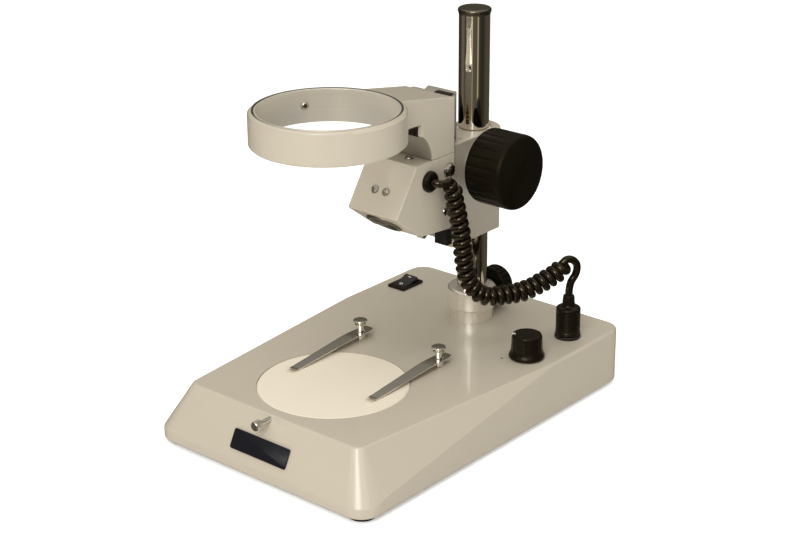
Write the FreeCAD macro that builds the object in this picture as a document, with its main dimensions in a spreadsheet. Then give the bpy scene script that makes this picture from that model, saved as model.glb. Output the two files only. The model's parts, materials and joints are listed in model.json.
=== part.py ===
"""Stereo microscope stand with a built-in top light, as a parametric FreeCAD document.

Millimetres, +Z up. The origin is on the desk, under the middle of the stand's outline.
Along Y every place is written from the stage plate's centre, and place() adds stage_y.
"""
import FreeCAD, Part
import math
import os
import re
import Sketcher

Vector = FreeCAD.Vector

DIMENSIONS = {
    # the stage plate's centre, measured from the origin along Y
    "stage_y": -62.5,
    # base casting
    "foot_height": 3.0,
    "base_top": 40.0,
    "base_width": 175.0,
    "base_front": -71.0,
    "base_rear": 190.0,
    "base_corner": 12.0,
    "base_wall": 3.0,
    "ridge_y": -55.5,
    "slope_foot_y": -70.6,
    "slope_foot_z": 11.0,
    "facet_top_half": 70.0,
    "facet_end_y": 118.0,
    "facet_low_z": 12.4,
    "cover_thickness": 2.0,
    # stage plate and its clips
    "plate_radius": 47.5,
    "plate_thickness": 5.0,
    "clip_x": 33.0,
    "clip_y": 62.6,
    "clip_lift": 4.4,
    "clip_strip": 0.8,
    # pole and its foot
    "pole_y": 138.0,
    "pole_radius": 10.0,
    "pole_wall": 2.5,
    "pole_foot_z": 33.0,
    "pole_top": 248.0,
    "flange_radius": 15.0,
    "flange_top": 49.0,
    "collar_radius": 16.2,
    "collar_top": 63.0,
    "running_fit": 0.05,
    # controls on the base
    "switch_x": -70.0,
    "switch_y": 151.7,
    "dimmer_x": 68.0,
    "dimmer_y": 108.5,
    "socket_x": 69.0,
    "socket_y": 152.0,
    # focusing block
    "block_bottom": 104.5,
    "block_height": 69.0,
    "block_half": 15.0,
    "block_front": 98.3,
    "block_round": 17.5,
    "bush_radius": 11.5,
    "pinion_y": 118.5,
    "pinion_z": 158.0,
    "pinion_shaft": 3.0,
    "gear_module": 0.8,
    "knob_radius": 24.1,
    "knob_length": 27.6,
    "knob_start": 26.0,
    # slide, arm and ring
    "slide_back": 98.0,
    "arm_back": 94.0,
    "arm_half": 20.0,
    "arm_wall": 4.0,
    "arm_foot": 171.0,
    "ring_bottom": 196.5,
    "ring_top": 217.5,
    "ring_radius": 47.0,
    "ring_bore": 42.0,
    "window_y": 50.0,
    "window_radius": 21.4,
    "window_back": 63.0,
    # lamp housing
    "housing_wall": 2.5,
    "lens_y": 49.55,
    "lens_z": 132.6,
    # coiled cord
    "coil_radius": 6.0,
    "strand_radius": 2.2,
}

GEAR_TEETH = 14
RACK_TEETH = 20
CLAMP_ANGLE = 152.0

doc = FreeCAD.newDocument("stereo_microscope_stand")
sheet = doc.addObject("Spreadsheet::Sheet", "Dims")
for row, (alias, size) in enumerate(DIMENSIONS.items(), 1):
    sheet.set("A%d" % row, alias)
    sheet.set("B%d" % row, str(size))
    sheet.setAlias("B%d" % row, alias)
doc.recompute()

PARTS = {}


# ---------------------------------------------------------------- expressions and placing

def expression(text):
    """Write the sheet's name before each of its aliases."""
    def named(match):
        word = match.group(0)
        return "Dims." + word if word in DIMENSIONS else word
    return re.sub(r"[a-z][a-z_0-9]*", named, text)


def number(value):
    """The value of a number or of an expression in the sheet's aliases."""
    if isinstance(value, str):
        return float(sheet.evalExpression(expression(value)))
    return float(value)


def bind(item, name, value):
    if isinstance(value, str):
        item.setExpression(name, expression(value))
    else:
        setattr(item, name, value)


TURNS = {
    "Z": FreeCAD.Rotation(),
    "-Z": FreeCAD.Rotation(Vector(1, 0, 0), 180),
    "X": FreeCAD.Rotation(Vector(0, 1, 0), 90),
    "-X": FreeCAD.Rotation(Vector(0, 1, 0), -90),
    "Y": FreeCAD.Rotation(Vector(1, 0, 0), -90),
    "-Y": FreeCAD.Rotation(Vector(1, 0, 0), 90),
}


def place(item, at, turn=TURNS["Z"]):
    """Put an object at a point whose Y is counted from the stage plate's centre."""
    x, y, z = at
    shifted = (x, "stage_y + (%s)" % y, z)
    item.Placement = FreeCAD.Placement(Vector(*[number(v) for v in shifted]), turn)
    for axis, value in zip("xyz", shifted):
        if isinstance(value, str):
            item.setExpression("Placement.Base." + axis, expression(value))
    return item


# ---------------------------------------------------------------- primitives and booleans

def rod(name, radius, length, at, along="Z"):
    """A plain cylinder that starts at a point and runs along an axis."""
    item = doc.addObject("Part::Cylinder", name)
    bind(item, "Radius", radius)
    bind(item, "Height", length)
    return place(item, at, TURNS[along])


def box(name, size, centre):
    """A box centred in X and Y on a point, standing on its Z."""
    item = doc.addObject("Part::Box", name)
    for side, value in zip(("Length", "Width", "Height"), size):
        bind(item, side, value)
    x, y, z = centre
    return place(item, ("(%s) - (%s) / 2" % (x, size[0]), "(%s) - (%s) / 2" % (y, size[1]), z))


def fuse(name, items):
    item = doc.addObject("Part::MultiFuse", name)
    item.Shapes = list(items)
    return item


def cut(name, base, tools):
    item = doc.addObject("Part::Cut", name)
    item.Base = base
    item.Tool = tools[0] if len(tools) == 1 else fuse(name + "_tools", tools)
    return item


def common(name, first, second):
    item = doc.addObject("Part::MultiCommon", name)
    item.Shapes = [first, second]
    return item


def group(name, items):
    """Separate solids kept together in one node."""
    item = doc.addObject("Part::Compound", name)
    item.Links = list(items)
    return item


def keep(label, item):
    """Name a finished sub-part; the label is its file's name."""
    item.Label = label
    PARTS[label] = item
    return item


# ---------------------------------------------------------------- sketched bodies

def origin_feature(body, role):
    return next(f for f in body.Origin.OriginFeatures if f.Role == role)


def outline(body, plane, points):
    """A closed sketch of straight lines whose corners are bound to the sheet."""
    sketch = body.newObject("Sketcher::SketchObject", body.Name + "_outline")
    sketch.AttachmentSupport = (origin_feature(body, plane), [""])
    sketch.MapMode = "FlatFace"
    corners = [Vector(number(u), number(v), 0) for u, v in points]
    count = len(corners)
    for i in range(count):
        sketch.addGeometry(Part.LineSegment(corners[i], corners[(i + 1) % count]))
    for i in range(count):
        sketch.addConstraint(Sketcher.Constraint("Coincident", i, 2, (i + 1) % count, 1))
    for i, (u, v) in enumerate(points):
        for kind, axis, value in (("DistanceX", -2, u), ("DistanceY", -1, v)):
            if value == 0:
                sketch.addConstraint(Sketcher.Constraint("PointOnObject", i, 1, axis))
                continue
            index = sketch.addConstraint(Sketcher.Constraint(kind, -1, 1, i, 1, number(value)))
            if isinstance(value, str):
                sketch.setExpression("Constraints[%d]" % index, expression(value))
    return sketch


def turned(name, points, at, along="Z", turn=None):
    """A body turned on a lathe, from (radius, height) corners."""
    body = doc.addObject("PartDesign::Body", name)
    sketch = outline(body, "XZ_Plane", points)
    spin = body.newObject("PartDesign::Revolution", name + "_spin")
    spin.Profile = sketch
    spin.ReferenceAxis = (sketch, ["V_Axis"])
    spin.Angle = 360
    return place(body, at, turn or TURNS[along])


def padded(name, plane, points, length, at=(0, 0, 0), symmetric=True):
    """A body padded from an outline in one of its own origin planes."""
    body = doc.addObject("PartDesign::Body", name)
    sketch = outline(body, plane, points)
    pad = body.newObject("PartDesign::Pad", name + "_pad")
    pad.Profile = sketch
    pad.SideType = "Symmetric" if symmetric else "One side"
    bind(pad, "Length", length)
    return place(body, at)


def rounded_slab(name, half, front, rear, bottom, height, corner):
    """A slab with rounded upright corners."""
    body = doc.addObject("PartDesign::Body", name)
    corners = [("-(%s)" % half, front), (half, front), (half, rear), ("-(%s)" % half, rear)]
    sketch = outline(body, "XY_Plane", corners)
    pad = body.newObject("PartDesign::Pad", name + "_pad")
    pad.Profile = sketch
    bind(pad, "Length", height)
    doc.recompute()
    upright = ["Edge%d" % i for i, edge in enumerate(pad.Shape.Edges, 1)
               if abs(edge.tangentAt(edge.FirstParameter).z) > 0.99]
    round_off = body.newObject("PartDesign::Fillet", name + "_corners")
    round_off.Base = (pad, upright)
    bind(round_off, "Radius", corner)
    return place(body, (0, 0, bottom))


def cutting_block(name, point, normal):
    """A large block whose lower face lies on a plane, for sloping cuts."""
    side = 500.0
    item = doc.addObject("Part::Box", name)
    item.Length = side
    item.Width = side
    item.Height = side
    turn = FreeCAD.Rotation(Vector(0, 0, 1), normal)
    corner = turn.multVec(Vector(-side / 2, -side / 2, 0))
    item.Placement = FreeCAD.Placement(point + corner, turn)
    return item


# ---------------------------------------------------------------- base

def base_planes():
    """The front slope and the two side facets, as (point, outward normal)."""
    stage = number("stage_y")
    top = number("base_top")
    half = number("base_width / 2")
    ridge = Vector(0, stage + number("ridge_y"), top)
    down = Vector(0, number("slope_foot_y - ridge_y"), number("slope_foot_z") - top)
    planes = [(ridge, down.cross(Vector(-1, 0, 0)).normalize())]
    for side in (1, -1):
        front = Vector(side * number("facet_top_half"), ridge.y, top)
        rear = Vector(side * half, stage + number("facet_end_y"), top)
        low = Vector(side * half, ridge.y, number("facet_low_z"))
        normal = (rear - front).cross(low - front).normalize()
        if normal.z < 0:
            normal = normal * -1
        planes.append((front, normal))
    if planes[0][1].z < 0:
        planes[0] = (ridge, planes[0][1] * -1)
    return planes


def base_blank(name, inset, bottom, height):
    """The base's outer form, drawn in by an inset for its inside."""
    slab = rounded_slab(name + "_slab", "base_width / 2 - %g" % inset, "base_front + %g" % inset,
                        "base_rear - %g" % inset, bottom, height, "base_corner - %g" % inset)
    blocks = [cutting_block("%s_plane_%d" % (name, i), point - normal * inset, normal)
              for i, (point, normal) in enumerate(base_planes())]
    return cut(name, slab, blocks)


COVER_SCREWS = [(side * 76.0, y) for side in (-1, 1) for y in (-40.0, 44.0, 128.0)]
FEET = [(side * 72.0, y) for side in (-1, 1) for y in (-56.0, 176.0)]
FLANGE_SCREWS = [(12.5 * math.cos(math.radians(a)), 12.5 * math.sin(math.radians(a)))
                 for a in (90.0, 210.0, 330.0)]
INLET_X = -40.0
FUSE_X = 8.0
REAR_Z = 21.0
TRANSFORMER = (-40.0, 95.0)
CORE_TABS = (-25.5, 25.5)


def make_base_housing():
    wall = number("base_wall")
    outer = base_blank("housing_outer", 0.0, "foot_height", "base_top - foot_height")
    inner = base_blank("housing_inner", wall, 0, "base_top - base_wall")
    shell = cut("housing_shell", outer, [inner])
    skin = "base_top - base_wall + 0.5"
    bosses = [
        rod("stage_well", "plate_radius + 3.3", "base_wall + 3", (0, 0, "base_top - base_wall - 5.5")),
        rod("pole_boss", 21.0, 7.5, (0, "pole_y", 30.0)),
        box("pin_boss", (10.0, 12.0, 6.5), (0, -52.0, 31.5)),
    ]
    bosses += [rod("cover_boss_%d" % i, 4.5, "%s - 5.1" % skin, (x, y, 5.1))
               for i, (x, y) in enumerate(COVER_SCREWS)]
    trimmed = common("housing_bosses", fuse("housing_boss_set", bosses), outer)
    holes = [
        rod("stage_recess", "plate_radius + 0.3", "plate_thickness + 1", (0, 0, "base_top - plate_thickness")),
        rod("pole_hole", "pole_radius + running_fit", 12.0, (0, "pole_y", 32.0)),
        rod("socket_hole", 6.05, 8.0, ("socket_x", "socket_y", 34.0)),
        rod("dimmer_hole", 3.6, 8.0, ("dimmer_x", "dimmer_y", 34.0)),
        box("switch_hole", (13.1, 19.1, 8.0), ("switch_x", "switch_y", 34.0)),
        rod("pin_hole", 1.7, 16.0, (0, -62.0, 37.4), "Y"),
        box("inlet_hole", (27.2, 12.0, 19.8), (INLET_X, 188.0, REAR_Z - 9.9)),
        rod("fuse_hole", 6.05, 12.0, (FUSE_X, 182.0, REAR_Z), "Y"),
    ]
    holes += [rod("post_hole_%d" % side, 2.05, 8.0, ("%d * clip_x" % side, "clip_y", 34.0))
              for side in (-1, 1)]
    holes += [rod("cover_tap_%d" % i, 1.55, 10.0, (x, y, 5.0)) for i, (x, y) in enumerate(COVER_SCREWS)]
    for i, (x, y) in enumerate(FLANGE_SCREWS):
        holes.append(rod("flange_hole_%d" % i, 1.6, 14.0, (x, "pole_y + %g" % y, 29.0)))
        holes.append(rod("flange_head_%d" % i, 3.2, 4.0, (x, "pole_y + %g" % y, 29.0)))
    body = fuse("housing_body", [shell, trimmed])
    keep("base_housing", cut("base_housing", body, holes))


def make_cover_and_feet():
    slab = rounded_slab("cover_slab", "base_width / 2 - base_wall - 0.2", "base_front + base_wall + 0.2",
                        "base_rear - base_wall - 0.2", "foot_height", "cover_thickness", 9.0)
    holes = [rod("cover_hole_%d" % i, 1.6, 4.0, (x, y, 2.0)) for i, (x, y) in enumerate(COVER_SCREWS + FEET)]
    holes += [box("vent_%d" % i, (36.0, 3.0, 4.0), (-40.0, 72.0 + 7.0 * i, 2.0)) for i in range(7)]
    keep("bottom_cover", cut("bottom_cover", slab, holes))
    foot = [(3.2, 0), (8.3, 0), (9.0, 0.7), (8.4, "foot_height"), (1.6, "foot_height"), (1.6, 2.2), (3.2, 2.2)]
    feet = [turned("foot_%d" % i, foot, (x, y, 0)) for i, (x, y) in enumerate(FEET)]
    keep("rubber_feet", group("rubber_feet", feet))


def make_base_screws():
    """The small screws that hold the cover, the feet, the transformer and the pole flange."""
    cover = [(0, 0), (2.8, 0), (2.8, 1.5), (1.5, 1.5), (1.5, 9.5), (0, 9.5)]
    screws = [turned("cover_screw_%d" % i, cover, (x, y, 1.5)) for i, (x, y) in enumerate(COVER_SCREWS)]
    foot = [(0, 0), (2.9, 0), (2.9, 1.4), (1.5, 1.4), (1.5, 8.0), (0, 8.0)]
    screws += [turned("foot_screw_%d" % i, foot, (x, y, 0.75)) for i, (x, y) in enumerate(FEET)]
    core = [(0, 0), (1.5, 0), (1.5, 1.6), (2.8, 1.6), (2.8, 3.4), (0, 3.4)]
    screws += [turned("core_screw_%d" % i, core, (TRANSFORMER[0] + x, TRANSFORMER[1], 5.0))
               for i, x in enumerate(CORE_TABS)]
    flange = [(0, 0), (2.8, 0), (2.8, 2.5), (1.5, 2.5), (1.5, 14.0), (0, 14.0)]
    screws += [turned("flange_screw_%d" % i, flange, (x, "pole_y + %g" % y, 30.4))
               for i, (x, y) in enumerate(FLANGE_SCREWS)]
    keep("base_screws", group("base_screws", screws))


def make_stage():
    rim = [(0, 0), ("plate_radius - 0.6", 0), ("plate_radius", 0.6), ("plate_radius", "plate_thickness - 0.6"),
           ("plate_radius - 0.6", "plate_thickness"), (0, "plate_thickness")]
    keep("stage_plate", turned("stage_plate", rim, (0, 0, "base_top - plate_thickness")))
    pin = [(0, 0), (1.6, 0), (1.6, 16.4), (2.6, 16.4), (3.0, 16.8), (3.0, 21.4), (2.4, 22.3), (0, 22.3)]
    keep("stage_plate_screw", turned("stage_plate_screw", pin, (0, -47.7, 37.4), "-Y"))
    tilt = math.degrees(math.atan2(number("ridge_y - slope_foot_y"), number("base_top - slope_foot_z")))
    plate = doc.addObject("Part::Box", "name_plate")
    width, height, middle = 46.0, 12.5, 21.3
    plate.Length = width
    plate.Width = height
    plate.Height = 0.8
    turn = FreeCAD.Rotation(Vector(1, 0, 0), 90.0 - tilt)
    run = (number("base_top") - middle) * math.tan(math.radians(tilt))
    centre = Vector(0, number("stage_y + ridge_y") - run, middle)
    plate.Placement = FreeCAD.Placement(centre + turn.multVec(Vector(-width / 2, -height / 2, 0)), turn)
    keep("name_plate", plate)


def make_clips():
    post = [(0, 0), (2.0, 0), (2.0, 5.0), (4.2, 5.0), (4.2, 9.3), (3.2, 9.3), (3.2, 14.0), (4.7, 14.0),
            (4.7, 15.6), (4.0, 17.2), (2.4, 18.2), (0, 18.5)]
    posts = [turned("clip_post_%d" % side, post, ("%d * clip_x" % side, "clip_y", 35.0)) for side in (-1, 1)]
    keep("clip_posts", group("clip_posts", posts))
    low = "base_top + clip_lift"
    side_view = [(72.0, low), (50.0, low), (4.0, "base_top + 0.3"), (2.0, "base_top + 0.3"),
                 (-1.2, "base_top + 2.6"), (-1.8, "base_top + 3.3"), (1.6, "base_top + 1.1"),
                 (4.2, "base_top + 1.1"), (50.0, low + " + clip_strip"), (72.0, low + " + clip_strip")]
    plan = [(-3.7, -4.0), (3.7, -4.0), (5.6, 57.0), (5.6, 66.0), (4.9, 69.4), (3.2, 71.5), (-3.2, 71.5),
            (-4.9, 69.4), (-5.6, 66.0), (-5.6, 57.0)]
    for label, side in (("left", -1), ("right", 1)):
        x = "%d * clip_x" % side
        name = "stage_clip_" + label
        strip = padded(name + "_side", "YZ_Plane", side_view, 14.0, (x, 0, 0))
        shape = padded(name + "_plan", "XY_Plane", plan, 20.0, (x, 0, "base_top"))
        hole = rod(name + "_hole", 3.25, 10.0, (x, "clip_y", "base_top"))
        keep(name, cut(name, common(name + "_strip", strip, shape), [hole]))


# ---------------------------------------------------------------- pole and controls

def make_pole():
    length = "pole_top - pole_foot_z"
    inner = "pole_radius - pole_wall"
    tube = [(inner, 0), ("pole_radius", 0), ("pole_radius", length), (inner, length)]
    keep("pole", turned("pole", tube, (0, "pole_y", "pole_foot_z")))
    cap = [(0, -10.0), (inner + " - 0.05", -10.0), (inner + " - 0.05", 0), (10.7, 0), (10.7, 2.2), (9.3, 3.9),
           (0, 3.9)]
    keep("pole_cap", turned("pole_cap", cap, (0, "pole_y", "pole_top")))
    bore = "pole_radius + running_fit"
    foot = [(bore, 0), ("flange_radius", 0), ("flange_radius", "flange_top - base_top"),
            (bore, "flange_top - base_top")]
    taps = [rod("flange_tap_%d" % i, 1.55, 6.0, (x, "pole_y + %g" % y, 39.0))
            for i, (x, y) in enumerate(FLANGE_SCREWS)]
    ring = turned("flange_ring", foot, (0, "pole_y", "base_top"))
    keep("pole_flange", cut("pole_flange", ring, taps))
    height = "collar_top - flange_top"
    sleeve = [(bore, 0), ("collar_radius - 0.5", 0), ("collar_radius", 0.5), ("collar_radius", height + " - 0.8"),
              ("collar_radius - 0.8", height), (bore, height)]
    collar = turned("collar_ring", sleeve, (0, "pole_y", "flange_top"))
    keep("pole_collar", cut("pole_collar", collar, [rod("collar_tap", 3.05, 10.0, (0, "pole_y + 9", 56.0), "Y")]))
    knob = [(0, 0), (3.0, 0), (3.0, 6.3), (5.0, 6.3), (5.0, 9.3), (11.5, 9.3), (12.5, 10.3), (12.5, 18.8),
            (11.3, 20.0), (0, 20.0)]
    keep("pole_clamp_knob", turned("pole_clamp_knob", knob, (0, "pole_y + 10.1", 56.0), "Y"))


def make_switch():
    top = "base_top"
    frame = box("switch_frame", (14.6, 21.0, 2.0), ("switch_x", "switch_y", top))
    body = box("switch_case", (13.0, 19.0, 18.0), ("switch_x", "switch_y", "base_top - 18"))
    blades = [box("switch_blade_%d" % i, (4.8, 0.8, 8.2), ("switch_x", "switch_y + %g" % y, "base_top - 26"))
              for i, y in enumerate((-5.0, 5.0))]
    well = box("switch_well", (11.0, 17.4, 12.0), ("switch_x", "switch_y", "base_top - 8"))
    keep("switch_body", cut("switch_body", fuse("switch_shell", [frame, body] + blades), [well]))
    pivot = "base_top + 0.2"
    top_view = [(-8.2, -2.6), (8.2, -2.6), (8.2, 3.7), (0, 2.4), (-8.2, 3.7)]
    wedge = padded("rocker_wedge", "YZ_Plane", top_view, 10.6, ("switch_x", "switch_y", pivot))
    drum = rod("rocker_drum", 8.35, 12.0, ("switch_x - 6", "switch_y", pivot), "X")
    lie = FreeCAD.Rotation(Vector(1, 0, 0), 12.0)
    wedge.Placement.Rotation = lie
    keep("switch_rocker", common("switch_rocker", wedge, drum))


def make_dimmer():
    at = ("dimmer_x", "dimmer_y", 0)
    control = [(3.05, 27.0), (8.5, 27.0), (8.5, 36.9), (3.5, 36.9), (3.5, 44.0), (3.05, 44.0)]
    keep("dimmer_control", turned("dimmer_control", control, at))
    keep("dimmer_shaft", rod("dimmer_shaft", 3.0, 26.0, ("dimmer_x", "dimmer_y", 28.0)))
    knob = [(3.03, 46.5), (7.2, 46.5), (7.2, 40.6), (11.6, 40.6), (11.6, 42.2), (10.4, 44.4), (9.9, 55.6),
            (9.2, 56.3), (0, 56.3), (0, 54.2), (3.03, 54.2)]
    keep("dimmer_knob", turned("dimmer_knob", knob, at))
    nut = [(3.55, 40.0), (5.6, 40.0), (5.6, 42.2), (3.55, 42.2)]
    back_nut = [(6.05, 33.6), (8.4, 33.6), (8.4, 36.9), (6.05, 36.9)]
    socket_at = ("socket_x", "socket_y", 0)
    nuts = [turned("dimmer_nut", nut, at), turned("socket_nut", back_nut, socket_at)]
    keep("panel_nuts", group("panel_nuts", nuts))


def make_socket_and_plug():
    at = ("socket_x", "socket_y", 0)
    socket = [(0, 26.0), (6.0, 26.0), (6.0, 40.0), (8.6, 40.0), (8.6, 41.6), (8.2, 42.0), (3.2, 42.0),
              (3.2, 29.5), (0, 29.5)]
    keep("lamp_socket", turned("lamp_socket", socket, at))
    plug = [(0, 30.0), (3.1, 30.0), (3.1, 42.1), (8.0, 42.1), (8.0, 60.2), (7.2, 61.0), (3.9, 61.4), (3.9, 69.5),
            (0, 69.5)]
    keep("lamp_plug", turned("lamp_plug", plug, at))


def make_power_parts():
    rim = box("inlet_rim", (31.0, 2.5, 24.0), (INLET_X, 191.25, REAR_Z - 12.0))
    case = box("inlet_case", (27.0, 22.0, 19.6), (INLET_X, 179.0, REAR_Z - 9.8))
    mouth = box("inlet_mouth", (24.0, 20.0, 16.5), (INLET_X, 185.5, REAR_Z - 8.25))
    shell = cut("inlet_shell", fuse("inlet_body", [rim, case]), [mouth])
    spots = ((-7.0, -2.0), (0.0, 2.0), (7.0, -2.0))
    pins = [box("inlet_pin_%d" % i, (2.0, 11.0, 4.0), (INLET_X + x, 180.0, REAR_Z + z - 2.0))
            for i, (x, z) in enumerate(spots)]
    keep("power_inlet", fuse("power_inlet", [shell] + pins))
    fuse_profile = [(0, 0), (5.9, 0), (5.9, 25.0), (7.5, 25.0), (7.5, 27.0), (6.4, 27.4), (6.4, 30.4), (5.8, 31.0),
                    (0, 31.0)]
    keep("fuse_holder", turned("fuse_holder", fuse_profile, (FUSE_X, 165.0, REAR_Z), "Y"))
    x, y = TRANSFORMER
    core = box("core_stack", (44.0, 24.0, 28.0), (x, y, 6.5))
    tabs = box("core_tabs", (58.0, 24.0, 1.5), (x, y, 5.0))
    taps = [rod("core_hole_%d" % i, 1.6, 4.0, (x + side, y, 4.0)) for i, side in enumerate(CORE_TABS)]
    keep("transformer_core", cut("transformer_core", fuse("core_body", [core, tabs]), taps))
    coil = box("winding_block", (30.0, 40.0, 20.0), (x, y, 10.5))
    space = box("winding_space", (46.0, 24.1, 30.0), (x, y, 6.0))
    keep("transformer_winding", cut("transformer_winding", coil, [space]))
    board = box("board", (50.0, 66.0, 1.6), (46.0, 122.0, 11.0))
    bits = [box("board_sink", (14.0, 24.0, 12.0), (31.0, 112.0, 12.6)),
            box("board_relay", (12.0, 15.0, 10.0), (52.0, 138.0, 12.6)),
            rod("board_capacitor", 5.0, 12.0, (34.0, 143.0, 12.6)),
            rod("board_small_capacitor", 3.0, 9.0, (60.0, 103.0, 12.6))]
    keep("circuit_board", fuse("circuit_board", [board] + bits))
    spots = [(x, y) for x in (25.0, 67.0) for y in (93.0, 151.0)]
    spacers = [rod("board_spacer_%d" % i, 2.6, 6.0, (x, y, 5.0)) for i, (x, y) in enumerate(spots)]
    keep("board_spacers", group("board_spacers", spacers))


# ---------------------------------------------------------------- focusing block

def make_focus_block():
    height = "block_height"
    front = box("block_slab", ("2 * block_half", "pole_y - block_front", height),
                (0, "(pole_y + block_front) / 2", "block_bottom"))
    back = rod("block_back", "block_round", height, (0, "pole_y", "block_bottom"))
    sides = box("block_sides", ("2 * block_half", 90.0, height), (0, "block_front + 45", "block_bottom"))
    plan = common("block_plan", fuse("block_mass", [front, back]), sides)
    bosses = rod("block_bosses", 8.0, 48.0, (-24.0, "pinion_y", "pinion_z"), "X")
    slot = [(8.1, 98.2), (11.68, 106.15), (-12.85, 106.15), (-9.3, 98.2)]
    tools = [
        rod("bush_bore", "bush_radius + running_fit", "block_height + 2", (0, "pole_y", "block_bottom - 1")),
        padded("block_dovetail", "XY_Plane", slot, 80.0, (0, 0, 100.0), symmetric=False),
        box("rack_slot", (10.4, 8.4, 80.0), (0, 110.3, 100.0)),
        rod("pinion_space", 6.8, 10.4, (-5.2, "pinion_y", "pinion_z"), "X"),
        rod("pinion_bore", 4.35, 60.0, (-30.0, "pinion_y", "pinion_z"), "X"),
        rod("clamp_tap", 3.05, 10.0, (0, "pole_y + 9", 140.0), "Y"),
        rod("top_tap", 1.2, 6.0, (9.0, 113.0, "block_bottom + block_height - 5")),
    ]
    tools += [rod("gib_tap_%d" % i, 1.25, 6.0, (-16.0, 102.0, z), "X") for i, z in enumerate((115.0, 139.0, 166.0))]
    keep("focus_block", cut("focus_block", fuse("block_solid", [plan, bosses]), tools))
    inner = "pole_radius + running_fit"
    length = "block_height - 2"
    bush = [(inner, 0), ("bush_radius", 0), ("bush_radius", length), (inner, length)]
    keep("pole_bush", turned("pole_bush", bush, (0, "pole_y", "block_bottom + 1")))
    knob = [(0, 0), (3.0, 0), (3.0, 6.4), (5.0, 6.4), (5.0, 8.6), (9.2, 8.6), (10.0, 9.4), (10.0, 17.6), (9.0, 18.6),
            (0, 18.6)]
    keep("block_clamp_knob", turned("block_clamp_knob", knob, (0, "pole_y + 11.6", 140.0), "Y"))
    gib = [(-8.27, 98.45), (-9.33, 98.45), (-12.75, 106.05), (-11.62, 106.05)]
    keep("gib_strip", padded("gib_strip", "XY_Plane", gib, 68.0, (0, 0, 105.0), symmetric=False))
    grub = [rod("gib_screw_%d" % i, 1.2, 3.2, (-14.8, 102.0, z), "X") for i, z in enumerate((115.0, 139.0, 166.0))]
    keep("gib_screws", group("gib_screws", grub))


def gear_blank(name, radius, width):
    """A padded disc in the plane across X, ready for teeth."""
    body = doc.addObject("PartDesign::Body", name)
    sketch = body.newObject("Sketcher::SketchObject", name + "_disc")
    sketch.AttachmentSupport = (origin_feature(body, "YZ_Plane"), [""])
    sketch.MapMode = "FlatFace"
    sketch.addGeometry(Part.Circle(Vector(0, 0, 0), Vector(0, 0, 1), number(radius)))
    sketch.addConstraint(Sketcher.Constraint("Coincident", 0, 3, -1, 1))
    index = sketch.addConstraint(Sketcher.Constraint("Radius", 0, number(radius)))
    sketch.setExpression("Constraints[%d]" % index, expression(radius))
    pad = body.newObject("PartDesign::Pad", name + "_blank")
    pad.Profile = sketch
    pad.SideType = "Symmetric"
    bind(pad, "Length", width)
    return body


def add_tooth(body, points, width):
    sketch = outline(body, "YZ_Plane", points)
    tooth = body.newObject("PartDesign::Pad", body.Name + "_tooth")
    tooth.Profile = sketch
    tooth.SideType = "Symmetric"
    bind(tooth, "Length", width)
    return tooth


def make_pinion():
    width = 9.2
    gear = gear_blank("pinion_gear", "(%d / 2 - 1.25) * gear_module" % GEAR_TEETH, width)
    root = "-(%d / 2 - 1.6) * gear_module" % GEAR_TEETH
    tip = "-(%d / 2 + 0.88) * gear_module" % GEAR_TEETH
    tooth = add_tooth(gear, [(root, -0.78), (root, 0.78), (tip, 0.3), (tip, -0.3)], width)
    doc.recompute()
    ring = gear.newObject("PartDesign::PolarPattern", "pinion_teeth")
    ring.Originals = [tooth]
    ring.Axis = (origin_feature(gear, "X_Axis"), [""])
    ring.Angle = 360
    ring.Occurrences = GEAR_TEETH
    gear.Tip = ring
    place(gear, (0, "pinion_y", "pinion_z"))
    bore = rod("pinion_gear_bore", "pinion_shaft + 0.03", 12.0, (-6.0, "pinion_y", "pinion_z"), "X")
    keep("pinion", cut("pinion", gear, [bore]))
    keep("pinion_shaft", rod("pinion_shaft_rod", "pinion_shaft", 104.0, (-52.0, "pinion_y", "pinion_z"), "X"))
    sleeve = [("pinion_shaft + running_fit", 5.4), (4.3, 5.4), (4.3, 23.9), ("pinion_shaft + running_fit", 23.9)]
    sleeves = [turned("pinion_bush_" + along.strip("-") + str(i), sleeve, (0, "pinion_y", "pinion_z"), along)
               for i, along in enumerate(("X", "-X"))]
    keep("pinion_bushes", group("pinion_bushes", sleeves))
    bore_radius = "pinion_shaft + 0.03"
    knob = [(bore_radius, 0), ("knob_radius - 1.5", 0), ("knob_radius", 1.5), ("knob_radius", "knob_length - 1.8"),
            ("knob_radius - 1.4", "knob_length"), (0, "knob_length"), (0, 26.2), (bore_radius, 26.2)]
    for label, side, along in (("right", 1, "X"), ("left", -1, "-X")):
        at = ("%d * knob_start" % side, "pinion_y", "pinion_z")
        keep("focus_knob_" + label, turned("focus_knob_" + label, knob, at, along))


# ---------------------------------------------------------------- slide, arm and ring

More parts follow.
